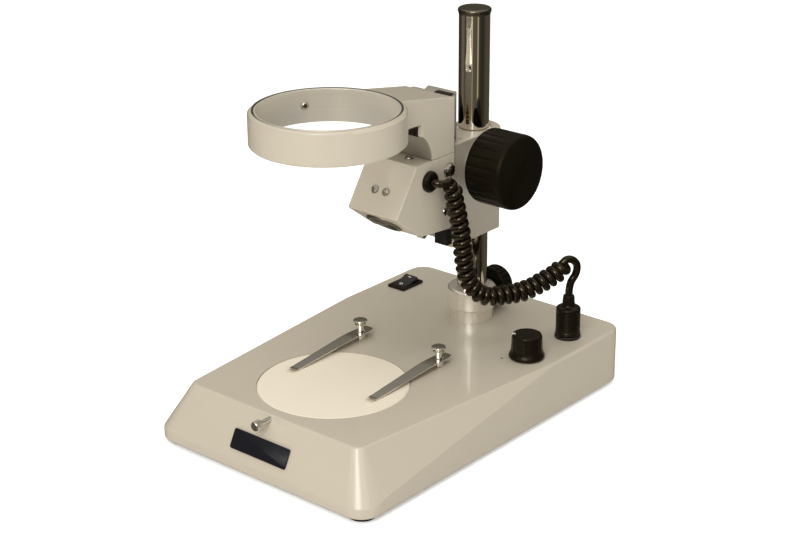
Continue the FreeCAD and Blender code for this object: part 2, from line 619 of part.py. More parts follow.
def make_slide():
    plan = [(-17.0, "arm_back"), (17.0, "arm_back"), (17.0, "slide_back"), (8.0, "slide_back"), (11.5, 106.0),
            (-11.5, 106.0), (-8.0, "slide_back"), (-17.0, "slide_back")]
    blank = padded("slide_blank", "XY_Plane", plan, 82.0, (0, 0, 124.0), symmetric=False)
    spots = [(x, z) for x in (-13.5, 13.5) for z in (179.0, 199.0)]
    holes = [rod("slide_hole_%d" % i, 2.05, 6.0, (x, 93.0, z), "Y") for i, (x, z) in enumerate(spots)]
    holes += [rod("slide_sink_%d" % i, 3.8, 3.0, (x, "slide_back - 2.2", z), "Y") for i, (x, z) in enumerate(spots)]
    keep("slide_plate", cut("slide_plate", blank, holes))
    screw = [(0, 0), (1.95, 0), (1.95, 10.2), (3.6, 10.2), (3.6, 12.0), (0, 12.0)]
    screws = [turned("slide_screw_%d" % i, screw, (x, 85.7, z), "Y") for i, (x, z) in enumerate(spots)]
    keep("slide_screws", group("slide_screws", screws))
    pitch = math.pi * number("gear_module")
    pitch_line = "pinion_y - %d / 2 * gear_module" % GEAR_TEETH
    start = number("pinion_z") + pitch * (0.5 - RACK_TEETH / 2)
    rack = doc.addObject("PartDesign::Body", "rack_body")
    rear = pitch_line + " - 1.1"
    bar = outline(rack, "YZ_Plane", [(106.0, start - 1.2), (rear, start - 1.2), (rear, start + 48.9), (106.0, start + 48.9)])
    pad = rack.newObject("PartDesign::Pad", "rack_bar")
    pad.Profile = bar
    pad.SideType = "Symmetric"
    pad.Length = 9.6
    tooth = add_tooth(rack, [(rear + " - 0.2", start - 0.85), (rear + " - 0.2", start + 0.85),
                             (pitch_line + " + 0.7", start + 0.3), (pitch_line + " + 0.7", start - 0.3)], 9.6)
    doc.recompute()
    row_of_teeth = rack.newObject("PartDesign::LinearPattern", "rack_teeth")
    row_of_teeth.Originals = [tooth]
    row_of_teeth.Direction = (origin_feature(rack, "Z_Axis"), [""])
    row_of_teeth.Length = pitch * (RACK_TEETH - 1)
    row_of_teeth.Occurrences = RACK_TEETH
    rack.Tip = row_of_teeth
    place(rack, (0, 0, 0))
    keep("slide_rack", rack)
    keep("slide_stop_upper", box("slide_stop_upper", (12.0, 4.2, 2.6), (9.0, 96.2, 206.0)))
    stop = [box("stop_block", (10.0, 5.6, 13.4), (10.0, 95.0, 107.6)),
            box("stop_neck", (10.0, 3.5, 4.0), (10.0, 96.05, 120.0))]
    keep("slide_stop_lower", fuse("slide_stop_lower", stop))


def clamp_frame(distance):
    """A point on the ring clamp screw's axis, and the turn that lays Z along that axis."""
    angle = math.radians(CLAMP_ANGLE)
    outward = Vector(math.cos(angle), math.sin(angle), 0)
    point = (distance * outward.x, distance * outward.y, 207.5)
    return point, FreeCAD.Rotation(Vector(0, 0, 1), outward)


def make_holder_arm():
    height = "ring_top - ring_bottom"
    rim = [(0, 0), ("ring_radius - 1", 0), ("ring_radius", 1.0), ("ring_radius", height + " - 2"),
           ("ring_radius - 2", height), (0, height)]
    ring = turned("ring_blank", rim, (0, 0, "ring_bottom"))
    side_view = [(38.0, "arm_foot"), ("arm_back", "arm_foot"), ("arm_back", 206.7), (46.0, 215.1), (38.0, 215.1)]
    beam = padded("arm_blank", "YZ_Plane", side_view, "2 * arm_half")
    opening = box("arm_opening", (60.0, 60.0, "ring_bottom - 150"), (0, "window_back - 30", 150.0))
    window = rod("arm_window", "window_radius", 60.0, (-30.0, "window_y", "arm_foot"), "X")
    inside = "2 * (arm_half - arm_wall)"
    cavity = box("arm_cavity", (inside, 34.0, 60.0), (0, 67.0, 144.0))
    guard = rod("guard_outer", "window_radius + 2", inside, ("arm_wall - arm_half", "window_y", "arm_foot"), "X")
    hollow = cut("arm_hollow", cavity, [guard])
    beam_cut = cut("arm_beam", beam, [opening, window, hollow])
    bore = rod("ring_bore_tool", "ring_bore", 60.0, (0, 0, 180.0))
    point, turn = clamp_frame(30.0)
    tap = rod("clamp_screw_tap", 2.55, 30.0, point)
    tap.Placement.Rotation = turn
    taps = [rod("arm_tap_%d" % i, 2.0, 9.0, (x, 85.5, z), "Y")
            for i, (x, z) in enumerate([(x, z) for x in (-13.5, 13.5) for z in (179.0, 199.0)])]
    keep("holder_arm", cut("holder_arm", fuse("arm_and_ring", [ring, beam_cut]), [bore, tap] + taps))
    point, turn = clamp_frame(42.3)
    screw = [(0, 0), (2.0, 0), (2.5, 0.5), (2.5, 5.0), (4.0, 5.0), (4.0, 9.6), (3.5, 10.1), (0, 10.1)]
    keep("ring_clamp_screw", turned("ring_clamp_screw", screw, point, turn=turn))


# ---------------------------------------------------------------- lamp housing

HOUSING_SIDE = [(57.3, "arm_foot"), (37.8, 141.3), (61.3, 123.9), (89.6, 121.5), ("arm_back", 125.5),
                ("arm_back", "arm_foot")]
HOUSING_INSIDE = [(58.7, "arm_foot - 2.5"), (41.1, 141.9), (62.1, 126.4), (88.7, 124.1), (91.5, 126.7),
                  (91.5, "arm_foot - 2.5")]
LENS_NORMAL = Vector(0, -17.4, -23.5).normalize()
LENS_TURN = FreeCAD.Rotation(Vector(0, 0, 1), LENS_NORMAL)
FACE_NORMAL = Vector(0, -29.7, 19.5).normalize()
FACE_TURN = FreeCAD.Rotation(Vector(0, 0, 1), FACE_NORMAL)


def make_lamp_housing():
    shell = padded("lamp_shell", "YZ_Plane", HOUSING_SIDE, "2 * arm_half")
    inside = padded("lamp_inside", "YZ_Plane", HOUSING_INSIDE, "2 * (arm_half - housing_wall)")
    lens_at = (0, "lens_y", "lens_z")
    aperture = rod("lamp_aperture", 12.0, 12.0, lens_at)
    start = LENS_NORMAL * -6.0
    aperture.setExpression("Placement.Base.y", expression("stage_y + lens_y + %g" % start.y))
    aperture.setExpression("Placement.Base.z", expression("lens_z + %g" % start.z))
    aperture.Placement.Rotation = LENS_TURN
    holes = [aperture, rod("grommet_hole", 4.6, 6.0, (16.0, 68.8, 158.5), "X"),
             rod("side_screw_hole", 2.05, 6.0, (16.0, 87.9, 160.9), "X"),
             rod("slotted_hole", 1.65, 6.0, (16.0, 84.5, 134.4), "X"),
             rod("top_screw_hole", 1.65, 6.0, (5.9, 66.2, 167.0))]
    for i, x in enumerate((-4.4, 4.4)):
        hole = rod("face_hole_%d" % i, 1.65, 8.0, (x, 46.24 - FACE_NORMAL.y * 4, 154.2 - FACE_NORMAL.z * 4))
        hole.Placement.Rotation = FACE_TURN
        holes.append(hole)
    keep("lamp_housing", cut("lamp_housing", shell, holes + [inside]))
    frame = [(10.4, 0.05), (13.6, 0.05), (13.6, 1.2), (13.0, 1.7), (11.0, 1.7), (10.4, 1.2)]
    keep("lamp_bezel", turned("lamp_bezel", frame, lens_at, turn=LENS_TURN))
    glass = [(0, -2.2), (11.9, -2.2), (11.9, 0), (0, 0)]
    keep("lamp_lens", turned("lamp_lens", glass, lens_at, turn=LENS_TURN))
    bowl = [(11.4, -3.0), (10.6, -3.0), (8.6, -8.0), (5.2, -13.5), (3.9, -15.0), (3.9, -16.0), (5.8, -16.0),
            (9.4, -8.4)]
    keep("lamp_reflector", turned("lamp_reflector", bowl, lens_at, turn=LENS_TURN))
    bulb = [(0, -5.5), (2.2, -6.2), (3.0, -8.0), (3.0, -16.4), (2.4, -17.8), (0, -17.8)]
    keep("lamp_bulb", turned("lamp_bulb", bulb, lens_at, turn=LENS_TURN))
    base = [(0, -26.0), (6.4, -26.0), (6.4, -16.5), (3.2, -16.5), (3.2, -18.0), (0, -18.0)]
    cylinder = turned("lamp_base", base, lens_at, turn=LENS_TURN)
    bracket = box("lamp_bracket", (8.0, 9.0, 12.5), (5.0, 67.5, 156.0))
    tap = rod("lamp_bracket_tap", 1.3, 8.0, (5.9, 66.2, 161.0))
    keep("lamp_holder", cut("lamp_holder", fuse("lamp_holder_body", [cylinder, bracket]), [tap]))


def make_housing_trim():
    ring = [(2.3, 0), (4.5, 0), (4.5, 2.6), (6.7, 2.6), (6.7, 4.4), (5.6, 5.6), (2.9, 5.6), (2.3, 5.0)]
    keep("cord_grommet", turned("cord_grommet", ring, (17.4, 68.8, 158.5), "X"))
    dome = [(0, 0), (2.0, 0), (2.0, 4.1), (5.0, 4.1), (4.7, 5.2), (3.6, 6.5), (2.0, 7.2), (0, 7.4)]
    keep("side_screw", turned("side_screw", dome, (16.0, 87.9, 160.9), "X"))
    small = [(0, 0), (1.6, 0), (1.6, 4.0), (2.5, 4.0), (2.5, 4.5), (1.9, 5.1), (0, 5.3)]
    screws = [turned("slotted_screw", small, (16.0, 84.5, 134.4), "X"),
              turned("top_screw", [(0, 0), (1.25, 0), (1.25, 5.0), (2.5, 5.0), (2.3, 6.2), (0, 6.6)],
                     (5.9, 66.2, 166.0))]
    for i, x in enumerate((-4.4, 4.4)):
        at = (x, 46.24 - FACE_NORMAL.y * 4, 154.2 - FACE_NORMAL.z * 4)
        screws.append(turned("face_screw_%d" % i, small, at, turn=FACE_TURN))
    keep("housing_screws", group("housing_screws", screws))


# ---------------------------------------------------------------- coiled cord

STRAND_UPPER = [(23.1, 68.8, 158.5), (26.2, 69.2, 159.2), (28.0, 72.6, 160.4), (27.65, 79.38, 161.9),
                (28.2, 80.4, 156.0)]
COIL_UPPER = [(28.2, 80.4, 156.0), (29.6, 83.0, 141.0), (31.4, 86.0, 125.0), (32.0, 87.2, 112.5)]
COIL_MIDDLE = [(32.0, 87.2, 112.5), (32.6, 88.4, 100.0), (34.2, 91.0, 87.0), (39.4, 100.2, 76.0),
               (46.2, 112.1, 76.0)]
COIL_LOWER = [(46.2, 112.1, 76.0), (53.0, 124.0, 76.0), (60.4, 137.0, 81.6), (66.7, 148.0, 88.2)]
STRAND_LOWER = [(66.3, 147.3, 88.0), (65.8, 146.6, 93.0), (68.6, 151.2, 96.4), (71.6, 156.6, 91.6),
                (71.6, 156.4, 83.6), (69.0, 152.0, 77.5), (69.0, 152.0, 69.52)]


def rounded_path(name, points):
    """Straight runs joined by tangent arcs, each as large as its two runs allow."""
    stage = number("stage_y")
    route = [Vector(x, y + stage, z) for x, y, z in points]
    edges = []
    radii = []
    start = route[0]
    for before, corner, after in zip(route, route[1:], route[2:]):
        back = (before - corner)
        ahead = (after - corner)
        reach = 0.45 * min(back.Length, ahead.Length)
        back.normalize()
        ahead.normalize()
        turn = math.pi - back.getAngle(ahead)
        radius = reach / math.tan(turn / 2)
        first = corner + back * reach
        last = corner + ahead * reach
        middle = (back + ahead).normalize()
        centre = corner + middle * math.hypot(radius, reach)
        edges.append(Part.LineSegment(start, first).toShape())
        edges.append(Part.Arc(first, centre - middle * radius, last).toShape())
        radii.append(radius)
        start = last
    edges.append(Part.LineSegment(start, route[-1]).toShape())
    print(name, "radii", [round(r, 1) for r in radii])
    return Part.Wire(edges)


def make_cord_piece(label, points, radius_name):
    radius = number(radius_name)
    path = rounded_path(label, points)
    ahead = path.Edges[0].tangentAt(path.Edges[0].FirstParameter)
    circle = Part.Wire(Part.Circle(path.Vertexes[0].Point, ahead, radius).toShape())
    solid = path.makePipeShell([circle], True, True)
    expected = math.pi * radius ** 2 * path.Length
    print(label, "volume", round(solid.Volume), "of", round(expected), "length", round(path.Length, 1))
    item = doc.addObject("Part::Feature", label)
    item.Shape = solid
    keep(label, item)


def make_cord():
    make_cord_piece("cord_upper", STRAND_UPPER, "strand_radius")
    make_cord_piece("cord_coil_upper", COIL_UPPER, "coil_radius")
    make_cord_piece("cord_coil_middle", COIL_MIDDLE, "coil_radius")
    make_cord_piece("cord_coil_lower", COIL_LOWER, "coil_radius")
    make_cord_piece("cord_lower", STRAND_LOWER, "strand_radius")


# ---------------------------------------------------------------- build and export

make_base_housing()
make_cover_and_feet()
make_base_screws()
make_stage()
make_clips()
make_pole()
make_switch()
make_dimmer()
make_socket_and_plug()
make_power_parts()
make_focus_block()
make_pinion()
make_slide()
make_holder_arm()
make_lamp_housing()
make_housing_trim()
make_cord()
doc.recompute()

for item in doc.Objects:
    if "Invalid" in item.State or "Error" in item.State:
        raise SystemExit("failed feature: %s %s" % (item.Name, item.State))
for label, item in PARTS.items():
    if item.Shape.isNull() or not item.Shape.isValid() or item.Shape.Volume <= 0:
        raise SystemExit("bad shape: " + label)

os.makedirs("parts", exist_ok=True)
for label, item in PARTS.items():
    item.Shape.exportStep("parts/%s.step" % label)
print("nodes", len(PARTS))
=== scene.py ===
import json
import math

import bmesh
import bpy
import numpy as np
from mathutils import Matrix, Vector
from mathutils.bvhtree import BVHTree


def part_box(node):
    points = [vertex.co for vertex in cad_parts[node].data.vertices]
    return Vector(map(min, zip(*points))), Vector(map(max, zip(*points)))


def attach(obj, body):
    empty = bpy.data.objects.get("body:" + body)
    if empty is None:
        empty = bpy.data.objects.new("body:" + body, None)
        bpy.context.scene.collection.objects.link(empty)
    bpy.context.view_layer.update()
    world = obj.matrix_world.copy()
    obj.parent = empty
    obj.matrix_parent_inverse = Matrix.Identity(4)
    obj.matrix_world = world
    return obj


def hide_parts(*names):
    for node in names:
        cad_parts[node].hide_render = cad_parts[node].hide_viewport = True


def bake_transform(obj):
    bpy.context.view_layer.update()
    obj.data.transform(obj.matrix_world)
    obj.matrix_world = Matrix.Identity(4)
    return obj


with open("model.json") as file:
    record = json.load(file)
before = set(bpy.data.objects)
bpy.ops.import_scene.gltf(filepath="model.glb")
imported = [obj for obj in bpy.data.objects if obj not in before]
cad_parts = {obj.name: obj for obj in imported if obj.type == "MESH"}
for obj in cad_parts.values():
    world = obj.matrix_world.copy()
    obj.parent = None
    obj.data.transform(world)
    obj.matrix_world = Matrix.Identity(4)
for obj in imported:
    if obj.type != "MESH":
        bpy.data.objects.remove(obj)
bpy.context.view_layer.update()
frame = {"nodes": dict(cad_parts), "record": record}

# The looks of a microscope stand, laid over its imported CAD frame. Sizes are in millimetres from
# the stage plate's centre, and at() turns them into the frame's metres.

NODES = frame["nodes"]
RECORD = frame["record"]
BODY = {n: body for body, nodes in RECORD["behaviour"]["bodies"].items() for n in nodes}
SLOT = {s["node"]: s["material_slot"] for s in RECORD["subparts"]}
MM = 0.001


def middle(node):
    low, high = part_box(node)
    return (low + high) / 2


STAGE = middle("stage_plate")


def at(x, y, z):
    """A point in metres from millimetres, with Y counted from the stage plate's centre."""
    return Vector((x * MM, STAGE.y + y * MM, z * MM))


# ------------------ camera

CAMERA_AT = at(685.8, -737.3, 520.2)
CAMERA_AIM = at(15.0, 46.6, 107.8)
CAMERA_ROLL = math.radians(-0.344)
FOCAL_LENGTH = 80.86
SENSOR_WIDTH = 36.0

camera_data = bpy.data.cameras.new("camera")
camera_data.lens = FOCAL_LENGTH
camera_data.sensor_width = SENSOR_WIDTH
camera_data.clip_start = 0.05
camera_data.clip_end = 50.0
camera = bpy.data.objects.new("camera", camera_data)
bpy.context.scene.collection.objects.link(camera)
camera.location = CAMERA_AT
camera.rotation_mode = "QUATERNION"
sight = (CAMERA_AIM - camera.location).to_track_quat("-Z", "Y")
camera.rotation_quaternion = sight @ Matrix.Rotation(CAMERA_ROLL, 3, "Z").to_quaternion()
bpy.context.scene.camera = camera


# ------------------ materials

WEAR_SCALE = 3.1      # how much finer the wear is than the mottle
RING_DEPTH = 0.00001  # of the turning marks, in metres


def new_material(name):
    material = bpy.data.materials.new(name)
    material.use_nodes = True
    return material, material.node_tree, material.node_tree.nodes["Principled BSDF"]


def add(tree, kind, **settings):
    node = tree.nodes.new(kind)
    for key, value in settings.items():
        setattr(node, key, value)
    return node


def noise_at(tree, vector, scale, detail=3.0, rough=0.5):
    noise = add(tree, "ShaderNodeTexNoise")
    noise.inputs["Scale"].default_value = scale
    noise.inputs["Detail"].default_value = detail
    noise.inputs["Roughness"].default_value = rough
    tree.links.new(vector, noise.inputs["Vector"])
    return noise.outputs["Fac"]


def ramp_of(tree, value, stops):
    ramp = add(tree, "ShaderNodeValToRGB")
    elements = ramp.color_ramp.elements
    while len(elements) < len(stops):
        elements.new(0.5)
    for element, (place, color) in zip(elements, stops):
        element.position = place
        element.color = (*color, 1.0) if len(color) == 3 else color
    tree.links.new(value, ramp.inputs["Fac"])
    return ramp.outputs["Color"]


def spread_of(tree, value, low, high):
    spread = add(tree, "ShaderNodeMapRange")
    spread.inputs["From Min"].default_value = 0.3
    spread.inputs["From Max"].default_value = 0.7
    spread.inputs["To Min"].default_value = low
    spread.inputs["To Max"].default_value = high
    tree.links.new(value, spread.inputs["Value"])
    return spread.outputs["Result"]


def tint(color, factor):
    return tuple(min(1.0, c * factor) for c in color)


def moulded(name, color, rough, vary=0.06, grain=900.0, bump=0.02, mottle=35.0, metallic=0.0,
            stretch=(1.0, 1.0, 1.0), depth=0.00004, gloss=0.15, **sockets):
    """Paint, plastic, rubber or bare metal: mottled colour, uneven gloss and a fine skin.

    vary and gloss are shares of the colour and the roughness. Other words name shader sockets.
    """
    material, tree, bsdf = new_material(name)
    coords = add(tree, "ShaderNodeTexCoord").outputs["Object"]
    scaled = add(tree, "ShaderNodeMapping")
    scaled.inputs["Scale"].default_value = stretch
    tree.links.new(coords, scaled.inputs["Vector"])
    broad = noise_at(tree, coords, mottle, 4.0)
    fine = noise_at(tree, scaled.outputs["Vector"], grain, 2.0)
    shades = [(0.3, tint(color, 1.0 - vary)), (0.7, tint(color, 1.0 + vary))]
    tree.links.new(ramp_of(tree, broad, shades), bsdf.inputs["Base Color"])
    wear = noise_at(tree, coords, mottle * WEAR_SCALE, 5.0)
    worn = spread_of(tree, wear, rough * (1 - gloss), rough * (1 + gloss))
    tree.links.new(worn, bsdf.inputs["Roughness"])
    skin = add(tree, "ShaderNodeBump")
    skin.inputs["Strength"].default_value = bump
    skin.inputs["Distance"].default_value = depth
    tree.links.new(fine, skin.inputs["Height"])
    tree.links.new(skin.outputs["Normal"], bsdf.inputs["Normal"])
    bsdf.inputs["Metallic"].default_value = metallic
    for key, value in sockets.items():
        bsdf.inputs[key.replace("_", " ")].default_value = value
    return material


def turned_metal(name, color, rough, centre, axis="Z", rings=2600.0, bump=0.25, streak=0.12,
                 metallic=1.0, uneven=0.2):
    """Lathe-turned metal: fine rings about an axis, in colour, gloss and bump."""
    material, tree, bsdf = new_material(name)
    coords = add(tree, "ShaderNodeTexCoord").outputs["Object"]
    moved = add(tree, "ShaderNodeMapping")
    moved.inputs["Location"].default_value = -Vector(centre)
    tree.links.new(coords, moved.inputs["Vector"])
    split = add(tree, "ShaderNodeSeparateXYZ")
    tree.links.new(moved.outputs["Vector"], split.inputs["Vector"])
    across = add(tree, "ShaderNodeCombineXYZ")
    for key in "XYZ":
        if key != axis:
            tree.links.new(split.outputs[key], across.inputs[key])
    radius = add(tree, "ShaderNodeVectorMath", operation="LENGTH")
    tree.links.new(across.outputs["Vector"], radius.inputs[0])
    rings_at = add(tree, "ShaderNodeCombineXYZ")
    tree.links.new(radius.outputs["Value"], rings_at.inputs["X"])
    tree.links.new(split.outputs[axis], rings_at.inputs["Y"])
    ring = noise_at(tree, rings_at.outputs["Vector"], rings, 4.0, 0.7)
    shades = [(0.3, tint(color, 1.0 - streak)), (0.7, tint(color, 1.0 + streak))]
    tree.links.new(ramp_of(tree, ring, shades), bsdf.inputs["Base Color"])
    worn = spread_of(tree, ring, rough * (1 - uneven), rough * (1 + uneven))
    tree.links.new(worn, bsdf.inputs["Roughness"])
    skin = add(tree, "ShaderNodeBump")
    skin.inputs["Strength"].default_value = bump
    skin.inputs["Distance"].default_value = RING_DEPTH
    tree.links.new(ring, skin.inputs["Height"])
    tree.links.new(skin.outputs["Normal"], bsdf.inputs["Normal"])
    bsdf.inputs["Metallic"].default_value = metallic
    bsdf.inputs["Anisotropic"].default_value = 0.65
    tangent = add(tree, "ShaderNodeTangent", direction_type="RADIAL", axis=axis)
    tree.links.new(tangent.outputs["Tangent"], bsdf.inputs["Tangent"])
    return material


PAINT = (0.480, 0.430, 0.345)
BLACK = (0.0060, 0.0045, 0.0025)
WARM = (1.0, 0.84, 0.60, 1.0)
POLE_AT = middle("pole")
RING_AT = at(0, 0, 207)

ENAMEL = dict(rough=0.34, vary=0.012, grain=1400.0, bump=0.06, mottle=22.0, gloss=0.04,
              Coat_Weight=0.35, Coat_Roughness=0.10)
MATERIALS = {
    "painted_shell": moulded("enamel_base", PAINT, **ENAMEL),
    "painted_head": moulded("enamel_head", PAINT, **ENAMEL),
    "steel_screws": moulded("nickel", (0.50, 0.47, 0.41), 0.30, vary=0.05, grain=2500.0, bump=0.1,
                            metallic=1.0),
    "chrome_trim": moulded("chrome_trim", (0.78, 0.75, 0.69), 0.10, vary=0.02, grain=1800.0,
                           bump=0.04, metallic=1.0),
    "polished_pole": moulded("chrome_pole", (0.80, 0.76, 0.68), 0.055, vary=0.015, grain=700.0,
                             bump=0.015, mottle=60.0, metallic=1.0, stretch=(1.0, 1.0, 0.12)),
    "turned_aluminium": turned_metal("turned_aluminium", (0.90, 0.855, 0.77), 0.24, POLE_AT,
                                     rings=1400.0, bump=0.012, streak=0.02, metallic=0.8,
                                     uneven=0.06),
    "bare_slide": moulded("milled_aluminium", (0.60, 0.56, 0.49), 0.34, vary=0.05, grain=1500.0,
                          bump=0.2, metallic=0.65, stretch=(1.0, 1.0, 0.06)),
    "brass_gear": moulded("machined_brass", (0.36, 0.27, 0.14), 0.28, vary=0.06, grain=1800.0,
                          bump=0.15, metallic=1.0),
    "black_plastic": moulded("black_plastic", BLACK, 0.30, vary=0.2, grain=1600.0, bump=0.08,
                             Specular_IOR_Level=0.26, Specular_Tint=WARM),
    "black_gloss": moulded("black_gloss", BLACK, 0.16, vary=0.15, grain=900.0, bump=0.03),
    "black_knob": moulded("black_knob", BLACK, 0.38, vary=0.2, grain=1900.0, bump=0.10,
                          Specular_IOR_Level=0.09, Specular_Tint=WARM),
    "black_metal": moulded("blackened_metal", (0.016, 0.014, 0.011), 0.32, vary=0.2, grain=2000.0,
                           bump=0.12, metallic=0.35),
    "stage_cream": moulded("cream_plate", (0.775, 0.695, 0.570), 0.34, vary=0.008, grain=1200.0,
                           bump=0.03, gloss=0.03),
    "label_black": moulded("printed_label", (0.006, 0.006, 0.010), 0.22, vary=0.1, grain=900.0,
                           bump=0.03),
    "foot_rubber": moulded("foot_rubber", (0.014, 0.013, 0.012), 0.62, vary=0.2, grain=2200.0,
                           bump=0.4),
    "cord_pvc": moulded("cord_pvc", (0.0060, 0.0040, 0.0022), 0.14, vary=0.15, grain=1500.0,
                        bump=0.05, Specular_IOR_Level=0.50, Specular_Tint=WARM),
    "bush_plastic": moulded("acetal", (0.70, 0.67, 0.60), 0.40, vary=0.03),
    "core_steel": moulded("laminations", (0.20, 0.20, 0.21), 0.45, vary=0.2, grain=1400.0,
                          bump=0.6, metallic=1.0, stretch=(0.02, 1.0, 0.02)),
    "coil_tape": moulded("winding_tape", (0.62, 0.42, 0.07), 0.35, vary=0.08, grain=700.0,
                         bump=0.2),
    "board_green": moulded("circuit_board", (0.02, 0.13, 0.05), 0.30, vary=0.25, mottle=160.0),
    "reflector_metal": moulded("reflector", (0.86, 0.85, 0.82), 0.12, vary=0.03, metallic=1.0),
    "ceramic_holder": moulded("ceramic", (0.78, 0.74, 0.66), 0.45, vary=0.05, grain=1500.0,
                              bump=0.2),
    "cover_steel": moulded("cover_paint", (0.030, 0.029, 0.027), 0.45, vary=0.1, grain=1700.0,
                           bump=0.35),
    "lens_glass": moulded("lens_glass", (0.42, 0.40, 0.36), 0.22, vary=0.03, grain=600.0, bump=0.15,
                          Transmission_Weight=0.9),
    "lamp_glass": moulded("lamp_glass", (0.97, 0.96, 0.92), 0.04, vary=0.01, bump=0.01,
                          Transmission_Weight=1.0),
}

# Finishes of single pieces or of single faces, beside the slots above; three of them are painted
# shade.
BARE_BORE = turned_metal("bored_metal", (0.76, 0.71, 0.62), 0.33, RING_AT, rings=5200.0, bump=0.05,
                         streak=0.06, metallic=0.64)
SATIN = moulded("satin_metal", (0.16, 0.145, 0.12), 0.34, vary=0.05, grain=1500.0, bump=0.1,
                metallic=0.8)
CAP_CHROME = moulded("cap_chrome", (0.20, 0.175, 0.135), 0.30, vary=0.1, grain=1200.0, bump=0.1,
                     metallic=1.0)
DULL_CHROME = moulded("dull_chrome", (0.46, 0.43, 0.38), 0.16, vary=0.05, grain=1500.0, bump=0.08,
                      metallic=1.0)
# Painted shade: a dark colour laid in the groove round the ring's bore, where shade falls.
GROOVE_PAINTED_SHADE = moulded("groove", (0.10, 0.09, 0.07), 0.5, vary=0.1, grain=1500.0, bump=0.1)
# Painted shade: the arm's round window wall darkened as if shaded by the ring above; only its
# brushed grain is the metal's own.
WINDOW_WALL_PAINTED_SHADE = moulded("window_wall_painted_shade", (0.27, 0.245, 0.195), 0.42, vary=0.05, grain=900.0, bump=0.25,
                    metallic=0.3, stretch=(1.0, 0.1, 0.1))
# Painted shade: a near black laid in the pocket behind the window, standing in for the dark hollow
# inside the arm.
POCKET_PAINTED_SHADE = moulded("pocket_painted_shade", (0.035, 0.030, 0.020), 0.6, vary=0.1)
WHITE_INK = moulded("white_ink", (0.82, 0.80, 0.74), 0.45, vary=0.03)
DARK_INK = moulded("dark_ink", (0.05, 0.045, 0.04), 0.5, vary=0.1)


# ------------------ meshes

def shaded(mesh, angle=32.0):
    for polygon in mesh.polygons:
        polygon.use_smooth = True
    mesh.set_sharp_from_angle(angle=math.radians(angle))
    return mesh


def piece(name, mesh, node=None, body=None, slot=None, material=None, angle=32.0):
    """A shown piece: it rides on a node's body, replaces it and takes its slot's material."""
    obj = bpy.data.objects.new(name, shaded(mesh, angle))
    bpy.context.scene.collection.objects.link(obj)
    slot = slot or SLOT.get(node)
    if not mesh.materials:
        mesh.materials.append(material or MATERIALS[slot])
    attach(obj, body or BODY[node])
    if node:
        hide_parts(node)
    return obj


def mesh_of(name, bm):
    bmesh.ops.recalc_face_normals(bm, faces=bm.faces)
    mesh = bpy.data.meshes.new(name)
    bm.to_mesh(mesh)
    bm.free()
    return mesh


WELD = 2e-6  # corners nearer than this, in metres, are one


def welded(node, flat=0.5):
    """A copy of a CAD node's mesh with shared corners, and its flat faces whole if flat isn't 0."""
    bm = bmesh.new()
    bm.from_mesh(NODES[node].data)
    bmesh.ops.remove_doubles(bm, verts=bm.verts, dist=WELD)
    if flat:
        bmesh.ops.dissolve_limit(bm, angle_limit=math.radians(flat), verts=bm.verts, edges=bm.edges)
    return bm


def bevelled(bm, width, segments=3, angle=20.0, pick=None, clamp=True):
    """The edges sharper than an angle rounded over; pick narrows them to some convex ones."""
    hard = [e for e in bm.edges
            if len(e.link_faces) == 2 and e.calc_face_angle(0.0) > math.radians(angle)]
    if pick:
        hard = [e for e in hard if e.is_convex and pick((e.verts[0].co + e.verts[1].co) / 2, e)]
    bmesh.ops.bevel(bm, geom=hard, offset=width * MM, offset_type="OFFSET", segments=segments,
                    profile=0.5, affect="EDGES", clamp_overlap=clamp)
    bmesh.ops.remove_doubles(bm, verts=bm.verts, dist=WELD)
    return bm


def combined(mesh, tool, operation):
    """One mesh cut by another, or what they share."""
    obj = bpy.data.objects.new("combined", mesh)
    other = bpy.data.objects.new("tool", tool)
    for item in (obj, other):
        bpy.context.scene.collection.objects.link(item)
    step = obj.modifiers.new("step", "BOOLEAN")
    step.object = other
    step.operation = operation
    step.solver = "EXACT"
    step.use_self = True
    bpy.context.view_layer.update()
    depsgraph = bpy.context.evaluated_depsgraph_get()
    final = bpy.data.meshes.new_from_object(obj.evaluated_get(depsgraph))
    for item in (obj, other):
        bpy.data.objects.remove(item)
    return final


def skin(node, mesh, angle=40.0):
    """The visible piece that replaces a CAD node, with flat faces kept flat."""
    obj = piece(node + "_skin", mesh, node, angle=angle)
    weigh = obj.modifiers.new("weighted", "WEIGHTED_NORMAL")
    weigh.keep_sharp = True
    return obj


def softened(node, width, segments=3, angle=20.0, pick=None, clamp=True):
    """A CAD node's mesh again with its hard edges rounded over by a width in millimetres."""
    bm = bevelled(welded(node), width, segments, angle, pick, clamp)
    return skin(node, mesh_of(node + "_soft", bm))


def round_corner(centre, wide, radius, steps=48):
    """Points on a ring of balls: a corner rounded both in plan and over its edges.

    A ring of width 0 is one ball.
    """
    centre = Vector(centre)
    out = []
    if wide > 0:
        for k in range(steps):
            a = 2 * math.pi * k / steps
            ball = centre + Vector((math.cos(a), math.sin(a), 0)) * wide
            for j in range(16):
                t = 2 * math.pi * j / 16
                way = Vector((math.cos(a) * math.cos(t), math.sin(a) * math.cos(t), math.sin(t)))
                out.append(ball + way * radius)
        return out
    for i in range(9):
        for j in range(32):
            t, u = math.pi * i / 8, 2 * math.pi * j / 32
            way = Vector((math.sin(t) * math.cos(u), math.sin(t) * math.sin(u), math.cos(t)))
            out.append(centre + way * radius)
    return out


def hull_of(points):
    """The convex hull of points given in millimetres from the stage plate's centre."""
    bm = bmesh.new()
    for p in points:
        bm.verts.new(at(*p))
    bmesh.ops.remove_doubles(bm, verts=bm.verts, dist=1e-7)
    out = bmesh.ops.convex_hull(bm, input=bm.verts)
    bmesh.ops.delete(bm, geom=[g for g in set(out["geom_interior"]) | set(out["geom_unused"])
                               if isinstance(g, bmesh.types.BMVert)], context="VERTS")
    bmesh.ops.dissolve_limit(bm, angle_limit=math.radians(0.2), verts=bm.verts, edges=bm.edges)
    return mesh_of("hull", bm)


